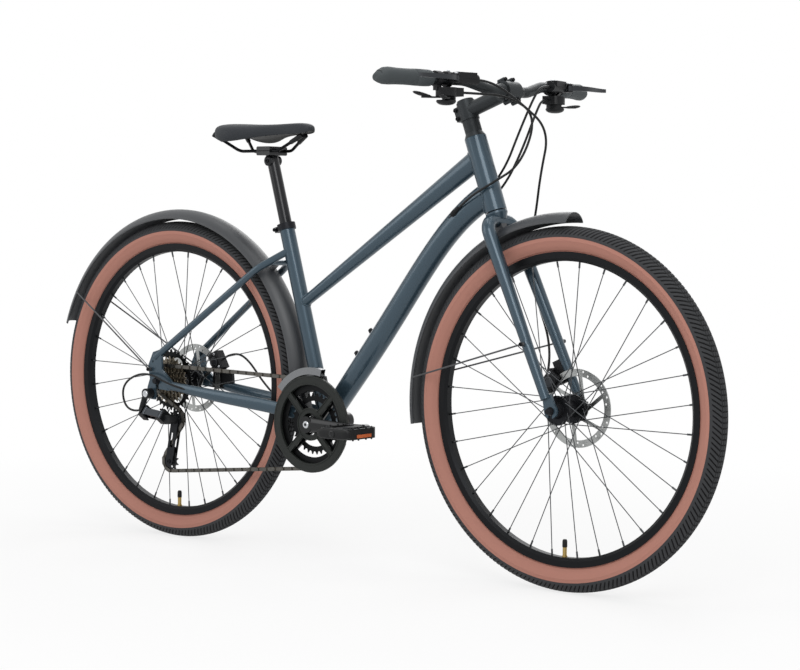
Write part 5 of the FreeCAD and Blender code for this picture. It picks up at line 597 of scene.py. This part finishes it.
# Each ring: mm inwards from the end of the bar, mm radius
grip_profile = [
    (-5, 3), (-6, 8), (-4, 12), (2, 15.5), (10, 17.6), (22, 17.4), (40, 16.4), (60, 16.0), (78, 16.2),
    (86, 16.6), (87, 15.4), (88, 15.4), (89, 16.6), (104, 16.8), (118, 16.6), (126, 16.0), (130, 14.6),
    (130, 11.3)]
for side, label in SIDES:
    points = []
    for inward, radius in grip_profile:
        droop = (max(0, DROOP_START - inward) / DROOP_RUN) ** 2
        for i in range(GRIP_SIDES):
            turn = 2 * pi * i / GRIP_SIDES
            forward = radius * cos(turn) - DROOP_BACK * droop
            rise = radius * (1 - DROOP_FLAT * droop) * sin(turn) - DROOP_DOWN * droop
            points.append(on_bar(inward, forward, rise, side))
    faces = ring_faces(len(grip_profile), GRIP_SIDES, flip=side < 0)
    grip = shape(label + "_grip_rubber", [(points, faces)], grip_rubber, "steering", sharp=50)
    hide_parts("grips")

# Brake levers and trigger shifters: cast bodies, forged levers, moulded pods with two paddles each.
# Both are clamped on the bar, and small screws close the clamps and the reservoir covers.
LID_HEAD = (2.6, 1.6)
PIVOT_HEAD = (4.0, 1.8)
CLAMP_HEAD = (3.4, 3.0)
# Each screw: place on the bar, direction and head
CONTROL_SCREWS = (((178, 27, 13), UP, LID_HEAD), ((214, 27, 13), UP, LID_HEAD),
                  ((162, 40, 8.9), UP, PIVOT_HEAD),
                  ((146, -4, -15), -UP, CLAMP_HEAD), ((172, 4, 15), UP, CLAMP_HEAD))
# Each pad: its lever, root and tip on the bar, half width and half thickness
PADS = (("thumb", (145, -12, -36), (107, -26, -26), 8.5, 3.8),
        ("release", (148, 25, -39.5), (120, 47, -36), 7.0, 3.4))
# Share of the pad's length, and of its half width there
PAD_LEAF = ((0, 0.3), (0.05, 0.52), (0.18, 0.8), (0.45, 0.98), (0.7, 1.0), (0.87, 0.8), (0.96, 0.5),
            (1, 0.22))
POD_INWARD = 164.0
POD_FORWARD = 8.0
COVER_TOP = -41.7
COVER = [(0, 18.6), (1, 19.6), (3, 19.8), (6, 18), (8.5, 14), (10, 8), (10.4, 3)]
WALL_TOP = -33.5
WALL_FOOT = -42.0
WALL_OUTER = 19.0
WALL_INNER = 9.6
WALL_ARC = [radians(angle) for angle in range(-48, 73, 8)]

# Painted casting: black with the faint orange peel of powder coat.
cast_black = surface("powder coated cast aluminium", "#1c1d1f", 0.45, metal=0.3, grain=0.7, relief=0.03,
                     wear_and_highlight=0.5)
# Lever alloy: satin grey black, polished a little along the edges that fingers meet.
satin_lever = surface("satin forged lever aluminium", "#393b3e", 0.4, metal=0.8, grain=0.8, relief=0.006,
                      wear_and_highlight=0.8)
# Glass filled nylon: black with a soft sheen and a fine moulded grain.
pod_plastic = surface("glass filled black nylon", "#1a1b1d", 0.48, grain=0.8, relief=0.02, wear_and_highlight=0.3)
# Zinc plate: small bright points among the black parts.
zinc = surface("bright zinc plated steel", "#c3c5c8", 0.26, metal=1.0, grain=1.5, relief=0.006)
finish(cast_black, "brake_lever_bodies")
finish(satin_lever, "right_brake_lever", "left_brake_lever")
finish(pod_plastic, "shifter_housings", "right_release_lever", "left_release_lever")
finish(pod_plastic, "right_thumb_lever", "left_thumb_lever")


def finger_pad(root, tip, half_width, half_thickness):
    """Leaf shaped pad between two points in metres, thinner upwards than across."""
    run = tip - root
    profile = [(share * run.length * 1000, half_width * width) for share, width in PAD_LEAF]
    points, faces = lathe(profile, root, run)
    thin = run.cross(UP).cross(run).normalized()
    flat = 1 - half_thickness / half_width
    return [point - thin * ((point - root).dot(thin) * flat) for point in points], faces


control_screws, lower_covers = [], []
for side, label in SIDES:
    for place, direction, head in CONTROL_SCREWS:
        control_screws.append(screw(on_bar(*place, side), direction, head))
    for lever, root, tip, half_width, half_thickness in PADS:
        pad = finger_pad(on_bar(*root, side), on_bar(*tip, side), half_width, half_thickness)
        shape(f"{label}_{lever}_pad", [pad], pod_plastic, f"{label}_{lever}_lever", sharp=60)
    lower_covers.append(lathe(COVER, on_bar(POD_INWARD, POD_FORWARD, COVER_TOP, side), -UP, sides=40))
    # The wall from pod to cover goes only round the inner side, and the levers swing in the slot it leaves
    wall = []
    for rise in (WALL_TOP, WALL_FOOT):
        for reach, turns in ((WALL_OUTER, WALL_ARC), (WALL_INNER, WALL_ARC[::-1])):
            for turn in turns:
                inward = POD_INWARD + reach * cos(turn)
                wall.append(on_bar(inward, POD_FORWARD + reach * sin(turn), rise, side))
    lower_covers.append((wall, ring_faces(2, 2 * len(WALL_ARC), flip=side > 0)))
shape("control_screws", control_screws, zinc, "steering")
shape("shifter_lower_covers", lower_covers, pod_plastic, "steering")

# Mudguards: moulded polycarbonate strips with black wire stays and their screws.
# The stays end at the fork legs and at the dropouts.
FORK_TIP_SIDE = 58.0
FORK_KNEE = 417.0
FORK_LEG_SIDE = 46.0
FRONT_EYELET_ALONG = 145.0
FRONT_EYELET_SIDE = 74.2
REAR_EYELET_X = -22.0
REAR_EYELET_SIDE = 80.7
REAR_EYELET_Z = 26.0
STAY_HEAD = (4.2, 3.2)

# Polycarbonate: dark grey and half matt, with one broad soft light along the crown.
guard_plastic = surface("moulded dark polycarbonate", "#3c3e41", 0.42, grain=1.0, spread=0.06, relief=0.02,
                        wear_and_highlight=0.3, Specular_IOR_Level=DEFAULT_SPECULAR)
finish(guard_plastic, "front_mudguard", "rear_mudguard")
leg_tip = rear(WHEELBASE, -FORK_TIP_SIDE, 0)
leg_knee = steer(FORK_KNEE, 0, -FORK_LEG_SIDE)
front_eyelet = leg_tip + (leg_knee - leg_tip).normalized() * (FRONT_EYELET_ALONG / 1000)
for side, label in SIDES:
    front_eyelet.y = side * FRONT_EYELET_SIDE / 1000
    front_screw = screw(front_eyelet, LEFT * side, STAY_HEAD)
    shape(label + "_front_stay_screw", [front_screw], black_screw, "steering")
    rear_screw = screw(rear(REAR_EYELET_X, side * REAR_EYELET_SIDE, REAR_EYELET_Z), LEFT * side, STAY_HEAD)
    shape(label + "_rear_stay_screw", [rear_screw], black_screw, "frame")

# Disc calipers: black two part castings on their posts, screwed together over the rotor's edge.
# A turned cap closes the inner piston's bore. The pads and posts belong to the same nodes.
REAR_CALIPER_ANGLE = radians(30)
# Each caliper: axle's place, inner face, angle about the axle, and the body that carries it
CALIPERS = (("front", WHEELBASE, 27.5, radians(142), "steering"),
            ("rear", 0, 40.0, REAR_CALIPER_ANGLE, "frame"))
PISTON_CAP = [(-0.5, 11.6), (1.4, 11.6), (2.2, 10.6), (2.2, 7.4), (1.4, 6.8), (1.4, 3.0)]
PISTON_REACH = 82.0
BRIDGE_REACH = 92.0
BRIDGE_HALF = 16.0
BRIDGE_HEAD = (3.2, 2.2)
finish(cast_black, "front_caliper", "rear_caliper")
for label, hub_x, face, angle, body in CALIPERS:
    places = []
    for reach, along in ((PISTON_REACH, 0), (BRIDGE_REACH, -BRIDGE_HALF), (BRIDGE_REACH, BRIDGE_HALF)):
        x = reach * cos(angle) - along * sin(angle)
        z = reach * sin(angle) + along * cos(angle)
        places.append(rear(hub_x + x, face, z))
    piston, *bridge = places
    shape(label + "_caliper_cap", [lathe(PISTON_CAP, piston, -LEFT, sides=32)], satin_lever, body)
    shape(label + "_caliper_screws", [screw(place, -LEFT, BRIDGE_HEAD) for place in bridge], zinc, body)

# Seatpost, rails and saddle: gloss black post, black steel rails and a stitched dark grey cover over foam.
# The cushion is wide and deep behind, with a narrow rounded nose. The post's yoke clamps the rails.
SADDLE_TAIL = 150.0
SADDLE_LENGTH = 262.0
RAIL_Z = 527.0
RAIL_HALF = 22.0
COVER_TAIL = 158.0
COVER_LENGTH = 252.0
YOKE_ALONG = 598.5
YOKE_HALF = 19.0
YOKE = [(-YOKE_HALF, 9.0), (2 - YOKE_HALF, 11.5), (YOKE_HALF - 2, 11.5), (YOKE_HALF, 9.0)]
YOKE_HEAD = (5.0, 3.0)

# Gloss painted alloy: near black, with sharp streaks of the lamps.
gloss_black = surface("gloss black painted alloy", "#17181b", 0.22, metal=0.4, grain=1.0, relief=0.003,
                      Coat_Weight=0.3)
# Rail wire: black plated steel with a narrow bright line along each bend.
rail_steel = surface("black plated rail steel", "#151618", 0.35, metal=0.8, grain=1.0, relief=0.004)
# Saddle vinyl: dark grey with a fine pressed grain of 0.9 mm and a soft broad sheen.
cover_vinyl = surface("pressed dark grey vinyl", "#2e3135", 0.55, grain=0.9, spread=0.06, relief=0.05)
# Saddle shell: black nylon underside, dull so that it stays in the shade of the cover.
shell_nylon = surface("black saddle shell nylon", "#0e0f10", 0.6, grain=1.2, relief=0.02)
finish(gloss_black, "seatpost")
finish(rail_steel, "saddle_rails")
# Each row: share of the length, half width, and heights over the rails of top, skirt's edge and base
saddle_rows = [
    (0.0, 30, 54, 46, 47), (0.015, 48, 58, 38, 41), (0.06, 68, 61, 27, 34), (0.16, 79, 62, 20, 31),
    (0.28, 80, 61, 19, 31), (0.40, 67, 59.5, 24, 33), (0.52, 47, 58.5, 30, 36), (0.66, 32, 59, 34, 38),
    (0.80, 25, 60.5, 35, 39), (0.92, 21, 61, 36, 40), (0.98, 15, 57, 39, 42), (1.0, 9, 51, 44, 45)]
# Share of the half width, and of the drop from the top to the skirt's edge
half_section = [(0.0, 0.0), (0.34, 0.0), (0.68, 0.05), (0.9, 0.2), (1.0, 0.5), (0.985, 0.86), (0.93, 1.0)]
# Under the skirt the cover folds in: shares of the half width, and mm of rise
FOLD_SHARE = 0.84
FOLD_RISE = 2.0
BASE_SHARE = 0.7
points = []
for share, half, high, skirt, base in saddle_rows:
    ring = [(half * across, high - (high - skirt) * down) for across, down in half_section]
    ring += [(half * FOLD_SHARE, skirt + FOLD_RISE), (half * BASE_SHARE, base), (0.0, base)]
    full = ring + [(-y, z) for y, z in reversed(ring[1:-1])]
    points.extend(rear(COVER_TAIL + share * COVER_LENGTH, y, RAIL_Z + z) for y, z in full)
size = len(full)
faces = ring_faces(len(saddle_rows), size, flip=True)
saddle = shape("saddle_cover", [(points, faces)], cover_vinyl, "seat", sharp=180)
saddle.data.materials.append(shell_nylon)
under = range(len(half_section) - 1, size - len(half_section) + 1)
for number, face in enumerate(saddle.data.polygons):
    face.material_index = int(number < size * (len(saddle_rows) - 1) and number % size in under)
rounding = saddle.modifiers.new("rounding", "SUBSURF")
rounding.levels = 2
rounding.render_levels = 2
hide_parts("saddle")
# Each socket: points on rail and shell as (share of the length, mm aside, mm over the rails), and the share
# of the run between them at which it starts
FRONT_SOCKET = ((0.68, RAIL_HALF, 0), (0.86, 9, 28), 0.62)
REAR_SOCKET = ((0.24, RAIL_HALF, 0), (0.07, 48, 32), 0.76)
sockets = []
for side in (-1, 1):
    for low, high, start in (FRONT_SOCKET, REAR_SOCKET):
        foot, head = (rear(SADDLE_TAIL + share * SADDLE_LENGTH, side * y, RAIL_Z + z)
                      for share, y, z in (low, high))
        reach = (head - foot).length * 1000
        profile = [(start * reach, 4.2), (start * reach + 2, 5.0), (1.2 * reach, 6.0)]
        sockets.append(lathe(profile, foot, head - foot))
shape("rail_sockets", sockets, pod_plastic, "seat")
yoke = bracket_centre + seat_up * (YOKE_ALONG / 1000)
shape("clamp_yoke", [lathe(YOKE, yoke, LEFT, sides=32)], gloss_black, "seat")
clamp_screws = [screw(yoke + LEFT * (side * YOKE_HALF / 1000), LEFT * side, YOKE_HEAD) for side in (-1, 1)]
shape("clamp_screws", clamp_screws, black_screw, "seat")

# Drivetrain: dark steel chain, bronze grey sprockets with a black large one, black steel rings with a moulded
# chain guard, and forged cranks in gloss black with a bright bolt on each end of the spindle.
CHAIN_LINE = -47.0
OUTER_PLATES = 2.8
SMALL_SPROCKETS_Y = -60.0
SMALL_SPROCKETS_WIDTH = 29.8
GUARD_FACE = 57.0
GUARD_RIM = 106.0
GUARD_WINDOW = 86.0
GUARD_HUB = 36.0
GUARD_SPOKE = 13.0
GUARD_SPOKE_START = 35.0
GUARD_SPOKE_END = 88.0
LIP_WIDTH = 2.4
LIP_HEIGHT = 1.2
CRANK_FACE = 70.5
CRANK_BOLT_SUNK = 2.0
CRANK_BOLT_HEAD = (8.0, 3.2)

# Chain steel: the outer plates are polished, and the inner plates and rollers brown with oil.
chain_steel = surface("oiled chain steel", "#3f3c37", 0.36, metal=0.9, grain=4.0, spread=0.5, relief=0.01,
                      edge=0.2, far=("#595753", CHAIN_LINE, OUTER_PLATES))
# Sprocket steel: nickel gone bronze grey, and the largest sprocket painted black.
cog_steel = surface("nickel plated sprocket steel", "#857e71", 0.34, metal=0.95, grain=1.2, spread=0.2,
                    relief=0.01, edge=0.2, wear_and_highlight=0.6, turned=rear(0, 0, 0),
                    far=("#1a1b1c", SMALL_SPROCKETS_Y, SMALL_SPROCKETS_WIDTH))
# Chainring steel: black finish, worn bright on the tips of the teeth.
ring_black = surface("black chainring steel", "#191a1b", 0.45, metal=0.8, grain=1.0, relief=0.01, edge=0.3,
                     wear_and_highlight=1.0, turned=bracket_centre)
# Guard plastic: matt black polypropylene. The soft grey light on its raised lips is a painted highlight along
# their edges.
guard_black = surface("matt black polypropylene", "#232624", 0.5, grain=0.9, spread=0.06, relief=0.03,
                      edge=1.0, wear_and_highlight=0.5)
# Crank alloy: black gloss paint with rounded edges. The thin pale line along them is a painted highlight,
# beside the coat's own reflections.
crank_black = surface("gloss black crank aluminium", "#101113", 0.22, metal=0.3, grain=1.0, relief=0.003,
                      edge=1.4, wear_and_highlight=1.2, Coat_Weight=0.3)
finish(chain_steel, "chain")
finish(cog_steel, "cassette")
finish(ring_black, "chainrings", "crank_spindle")
finish(guard_black, "chainguard")
finish(crank_black, "right_crank", "left_crank")


def ridge(start, end, normal, width, height):
    """Straight rib with a narrower top, from one point in metres to another, standing on a face."""
    across = (end - start).normalized().cross(normal)
    corners = []
    for place in (start, end):
        for side, up in ((-width / 2, 0), (width / 2, 0), (width / 3, height), (-width / 3, height)):
            corners.append(place + across * (side / 1000) + normal * (up / 1000))
    return corners, ring_faces(2, 4, flip=True)


# Each lip's section: mm over the guard's face, mm radius
RIM_LIP = [(-0.5, GUARD_RIM), (0.8, GUARD_RIM - 1.4), (0.8, GUARD_RIM - 3.4), (-0.5, GUARD_RIM - 5)]
WINDOW_LIP = [(-0.5, GUARD_WINDOW + 4), (LIP_HEIGHT, GUARD_WINDOW + 3),
              (LIP_HEIGHT, GUARD_WINDOW + 0.8), (-0.5, GUARD_WINDOW)]
HUB_LIP = [(-0.5, GUARD_HUB), (LIP_HEIGHT, GUARD_HUB - 0.8),
           (LIP_HEIGHT, GUARD_HUB - 2.6), (-0.5, GUARD_HUB - 3.4)]
guard_face = bracket_centre - LEFT * (GUARD_FACE / 1000)
guard_lips = []
for lip, sides in ((RIM_LIP, 96), (WINDOW_LIP, 96), (HUB_LIP, 64)):
    guard_lips.append(lathe(lip, guard_face, -LEFT, sides, hoop=True))
for quarter in range(4):
    angle = pi * (0.25 + quarter / 2)
    out = Vector((cos(angle), 0, sin(angle))) / 1000
    beside = Vector((-out.z, 0, out.x)) * (GUARD_SPOKE / 2 - LIP_WIDTH / 2)
    for edge in (-1, 1):
        start = guard_face + out * GUARD_SPOKE_START + beside * edge
        end = guard_face + out * GUARD_SPOKE_END + beside * edge
        guard_lips.append(ridge(start, end, -LEFT, LIP_WIDTH, LIP_HEIGHT))
shape("chainguard_lips", guard_lips, guard_black, "crankset", sharp=30)
crank_bolts = []
for side in (-1, 1):
    bolt_face = bracket_centre + LEFT * (side * (CRANK_FACE - CRANK_BOLT_SUNK) / 1000)
    crank_bolts.append(screw(bolt_face, LEFT * side, CRANK_BOLT_HEAD))
shape("crank_bolts", crank_bolts, zinc, "crankset")

# Pedals: moulded nylon platforms on steel spindles that screw into the cranks. Steel studs and ribs grip the
# shoe, a rounded bumper and a cap close the outer end, and amber reflectors sit in the front and the back.
CRANK_LENGTH = 170.0
PEDAL_INNER = 80.0
PEDAL_REACH = 46.0
PEDAL_HALF = 44.0
PEDAL_HIGH = 11.0
BUMPER_SIDES = 40
# Each ring of the bumper: mm beyond the platform's end, share of the platform's section
BUMPER_RINGS = ((-3.0, 1.0), (1.5, 1.0), (4.0, 0.96), (5.6, 0.86), (6.4, 0.66))
END_CAP_OUT = 6.0
END_CAP = [(0, 7.6), (1.2, 7.6), (1.8, 6.6), (1.8, 4.0), (1.0, 3.4)]
LENS_FACE = PEDAL_HALF + 0.8
LENS_DEPTH = 3.0
LENS_OUTLINE = ((-23, -8), (23, -8), (23, -1), (-23, -1))
STUD = [(0, 2.2), (2.4, 1.9), (3.0, 1.2)]
STUD_X = 39.0
STUD_ASIDE = (-30, -12, 12, 30)
RIB_X = 36.0
RIB_ASIDE = (-33, 33)
RIB_LENGTH = 22.0
RIB_WIDTH = 3.0
RIB_HEIGHT = 1.2

# Pedal nylon: black, half matt, scuffed pale along the edges that shoes meet.
pedal_plastic = surface("black pedal nylon", "#131415", 0.45, grain=0.9, relief=0.03, edge=0.8, wear_and_highlight=1.2)
# Reflector lens: clear amber acrylic over small prisms of 2 mm that flicker in tone.
reflector_amber = surface("amber acrylic reflector", "#c9683c", 0.22, grain=2.0, spread=0.3, relief=0.15,
                          Coat_Weight=0.5)
finish(pedal_plastic, "right_pedal", "left_pedal")


def on_pedal(x, y, z, side):
    """Point in metres from millimetres measured from the middle of one pedal. The right side is -1."""
    middle_y = side * (PEDAL_INNER + PEDAL_REACH)
    return bracket_centre + Vector((x - side * CRANK_LENGTH, y + middle_y, z)) / 1000


for side, label in SIDES:
    body = label + "_pedal"
    bumper, lenses, studs = [], [], []
    for out, share in BUMPER_RINGS:
        for i in range(BUMPER_SIDES):
            turn = 2 * pi * i / BUMPER_SIDES
            x, z = (copysign(abs(part) ** 0.5, part) * share
                    for part in (cos(turn), sin(turn)))
            bumper.append(on_pedal(x * PEDAL_HALF, side * (PEDAL_REACH + out), z * PEDAL_HIGH, side))
    bumper_faces = ring_faces(len(BUMPER_RINGS), BUMPER_SIDES, flip=side > 0)
    shape(label + "_pedal_bumper", [(bumper, bumper_faces)], pedal_plastic, body)
    cap_place = on_pedal(0, side * (PEDAL_REACH + END_CAP_OUT), 0, side)
    shape(label + "_pedal_cap", [lathe(END_CAP, cap_place, LEFT * side)], crank_black, body)
    for face in (-1, 1):
        corners = []
        for x in (LENS_FACE, LENS_FACE - LENS_DEPTH):
            corners += [on_pedal(face * x, y, z, side) for y, z in LENS_OUTLINE]
        lenses.append((corners, ring_faces(2, 4, flip=face > 0)))
        for up in (-1, 1):
            for y in STUD_ASIDE:
                foot = on_pedal(face * STUD_X, y, up * PEDAL_HIGH, side)
                studs.append(lathe(STUD, foot, UP * up, sides=10))
            for y in RIB_ASIDE:
                start = on_pedal(face * RIB_X, y, up * PEDAL_HIGH, side)
                end = on_pedal(face * (RIB_X - RIB_LENGTH), y, up * PEDAL_HIGH, side)
                studs.append(ridge(start, end, UP * up, RIB_WIDTH, RIB_HEIGHT))
    shape(label + "_pedal_reflectors", lenses, reflector_amber, body)
    shape(label + "_pedal_studs", studs, black_screw, body)

# Derailleurs: cast black bodies, pressed cages and dark chrome links. The front one clamps on the seat tube.
# A socket bolt holds the rear one to the hanger, and another holds the lower pulley in its cage.
HANGER_BOLT = (-20, -92, -30)
PULLEY_BOLT = (18.53, -53.7, -187.12)
HANGER_HEAD = (8.0, 2.0)
PULLEY_HEAD = (5.0, 2.4)

# Dark chrome: a smoky mirror with blurred streaks.
dark_chrome = surface("dark chrome plated steel", "#4c4f53", 0.2, metal=1.0, grain=1.5, relief=0.004,
                      edge=0.8, wear_and_highlight=0.3)
# Pressed cage steel: bright plate with faint drawing lines.
cage_steel = surface("chrome plated cage steel", "#7b7d7f", 0.26, metal=1.0, grain=1.2, spread=0.15,
                     relief=0.008, wear_and_highlight=0.2)
finish(cast_black, "rear_derailleur_body", "derailleur_knuckle", "front_derailleur_body")
finish(dark_chrome, "derailleur_outer_link", "derailleur_inner_link")
finish(black_alloy, "derailleur_cage")
finish(pod_plastic, "guide_pulley", "tension_pulley")
finish(cage_steel, "front_derailleur_cage")
shape("hanger_bolt", [screw(rear(*HANGER_BOLT), -LEFT, HANGER_HEAD)], zinc, "frame")
shape("pulley_bolt", [screw(rear(*PULLEY_BOLT), -LEFT, PULLEY_HEAD)], black_screw, "derailleur_cage")

# Cables and hoses: extruded black plastic outers, two from each side of the bar.
# Three of them cross the steering, and bend between the bar and the down tube.
CABLE_RADIUS = 2.5
CABLE_LEAD = 40.0
LEFT_SHIFT_LEAD = 30.0
# Where a cable leaves a shifter pod and a hose leaves a brake lever, on the bar
POD_END = (198, 8, -25.5)
HOSE_END = (228.4, 25, 0)
# Points of each route, from the rear axle
RIGHT_SHIFT = ((974, -40, 628), (1012, 6, 590), (985, -10, 490), (925, -31, 452), *RIGHT_SHIFT_ENTRY)
REAR_HOSE = ((966, 62, 636), (940, 44, 560), (909, 36, 480), *REAR_HOSE_ENTRY)
LEFT_SHIFT = ((960, 78, 606), (938, 56, 520), (905, 43, 448), *LEFT_SHIFT_ENTRY)
FRONT_HOSE = ((998, -36, 616), (1026, 30, 562), (1000, 36, 470), (968, 66, 388), (950, 67, 320),
              (970, 63, 228), (1020, 59, 116), (1018, 44, 66))
STAY_HOSE = ((270, 47, -33), (214, 66, -10), (150, 64, 60))
DERAILLEUR_CABLE = ((110, -63, -19), (56, -80, -10), (-22, -91, 24), (-104, -90, -12), (-92, -84, -78),
                    (-49.6, -82.5, -71))
CALIPER_HOSE_SIDE = 58.0
CALIPER_HOSE_REACH = 99.0
CALIPER_HOSE_LEAD = 26.0

# Cable outer: smooth extruded plastic, black with one bright line along its length.
hose_plastic = surface("extruded black cable plastic", "#1a1b1c", 0.4, grain=1.5, relief=0.004, edge=0.1)


def from_bar(end, side, lead, route):
    """Points in metres that leave the bar straight inwards for a lead, and then follow a route."""
    inward, forward, rise = end
    start = [on_bar(inward, forward, rise, side), on_bar(inward + lead, forward, rise, side)]
    return start + [rear(*point) for point in route]


def curve(name, route):
    """Smooth round cable through control points in metres."""
    data = bpy.data.curves.new(name, "CURVE")
    data.dimensions = "3D"
    spline = data.splines.new("NURBS")
    spline.points.add(len(route) - 1)
    for point, place in zip(spline.points, route):
        point.co = (*place, 1)
    spline.order_u = 3
    spline.use_endpoint_u = True
    spline.resolution_u = 12
    data.bevel_depth = CABLE_RADIUS / 1000
    data.bevel_resolution = 4
    data.use_fill_caps = True
    line = bpy.data.objects.new(name + "_line", data)
    scene.collection.objects.link(line)
    bpy.context.view_layer.update()
    mesh = bpy.data.meshes.new_from_object(line)
    mesh.name = name
    bpy.data.objects.remove(line)
    piece = bpy.data.objects.new(name, mesh)
    scene.collection.objects.link(piece)
    mesh.materials.clear()
    mesh.materials.append(hose_plastic)
    return piece


for name, route in (("right_shift_cable", from_bar(POD_END, -1, CABLE_LEAD, RIGHT_SHIFT)),
                    ("rear_brake_hose", from_bar(HOSE_END, 1, CABLE_LEAD, REAR_HOSE)),
                    ("left_shift_cable", from_bar(POD_END, 1, LEFT_SHIFT_LEAD, LEFT_SHIFT))):
    cable = curve(name, route)
    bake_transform(cable)
    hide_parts("frame_cables")
caliper_out = Vector((cos(REAR_CALIPER_ANGLE), 0, sin(REAR_CALIPER_ANGLE))) / 1000
caliper_face = rear(0, CALIPER_HOSE_SIDE, 0) + caliper_out * CALIPER_HOSE_REACH
stay_hose = [rear(*point) for point in STAY_HOSE]
stay_hose += [caliper_face + caliper_out * CALIPER_HOSE_LEAD, caliper_face]
derailleur_cable = [rear(*point) for point in DERAILLEUR_CABLE]
front_hose = from_bar(HOSE_END, -1, CABLE_LEAD, FRONT_HOSE)
for name, route, body, node in (("stay_brake_hose", stay_hose, "frame", "frame_cables"),
                                ("derailleur_cable", derailleur_cable, "frame", "frame_cables"),
                                ("front_brake_line", front_hose, "steering", "front_brake_hose")):
    cable = curve(name, route)
    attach(cable, body)
    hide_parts(node)
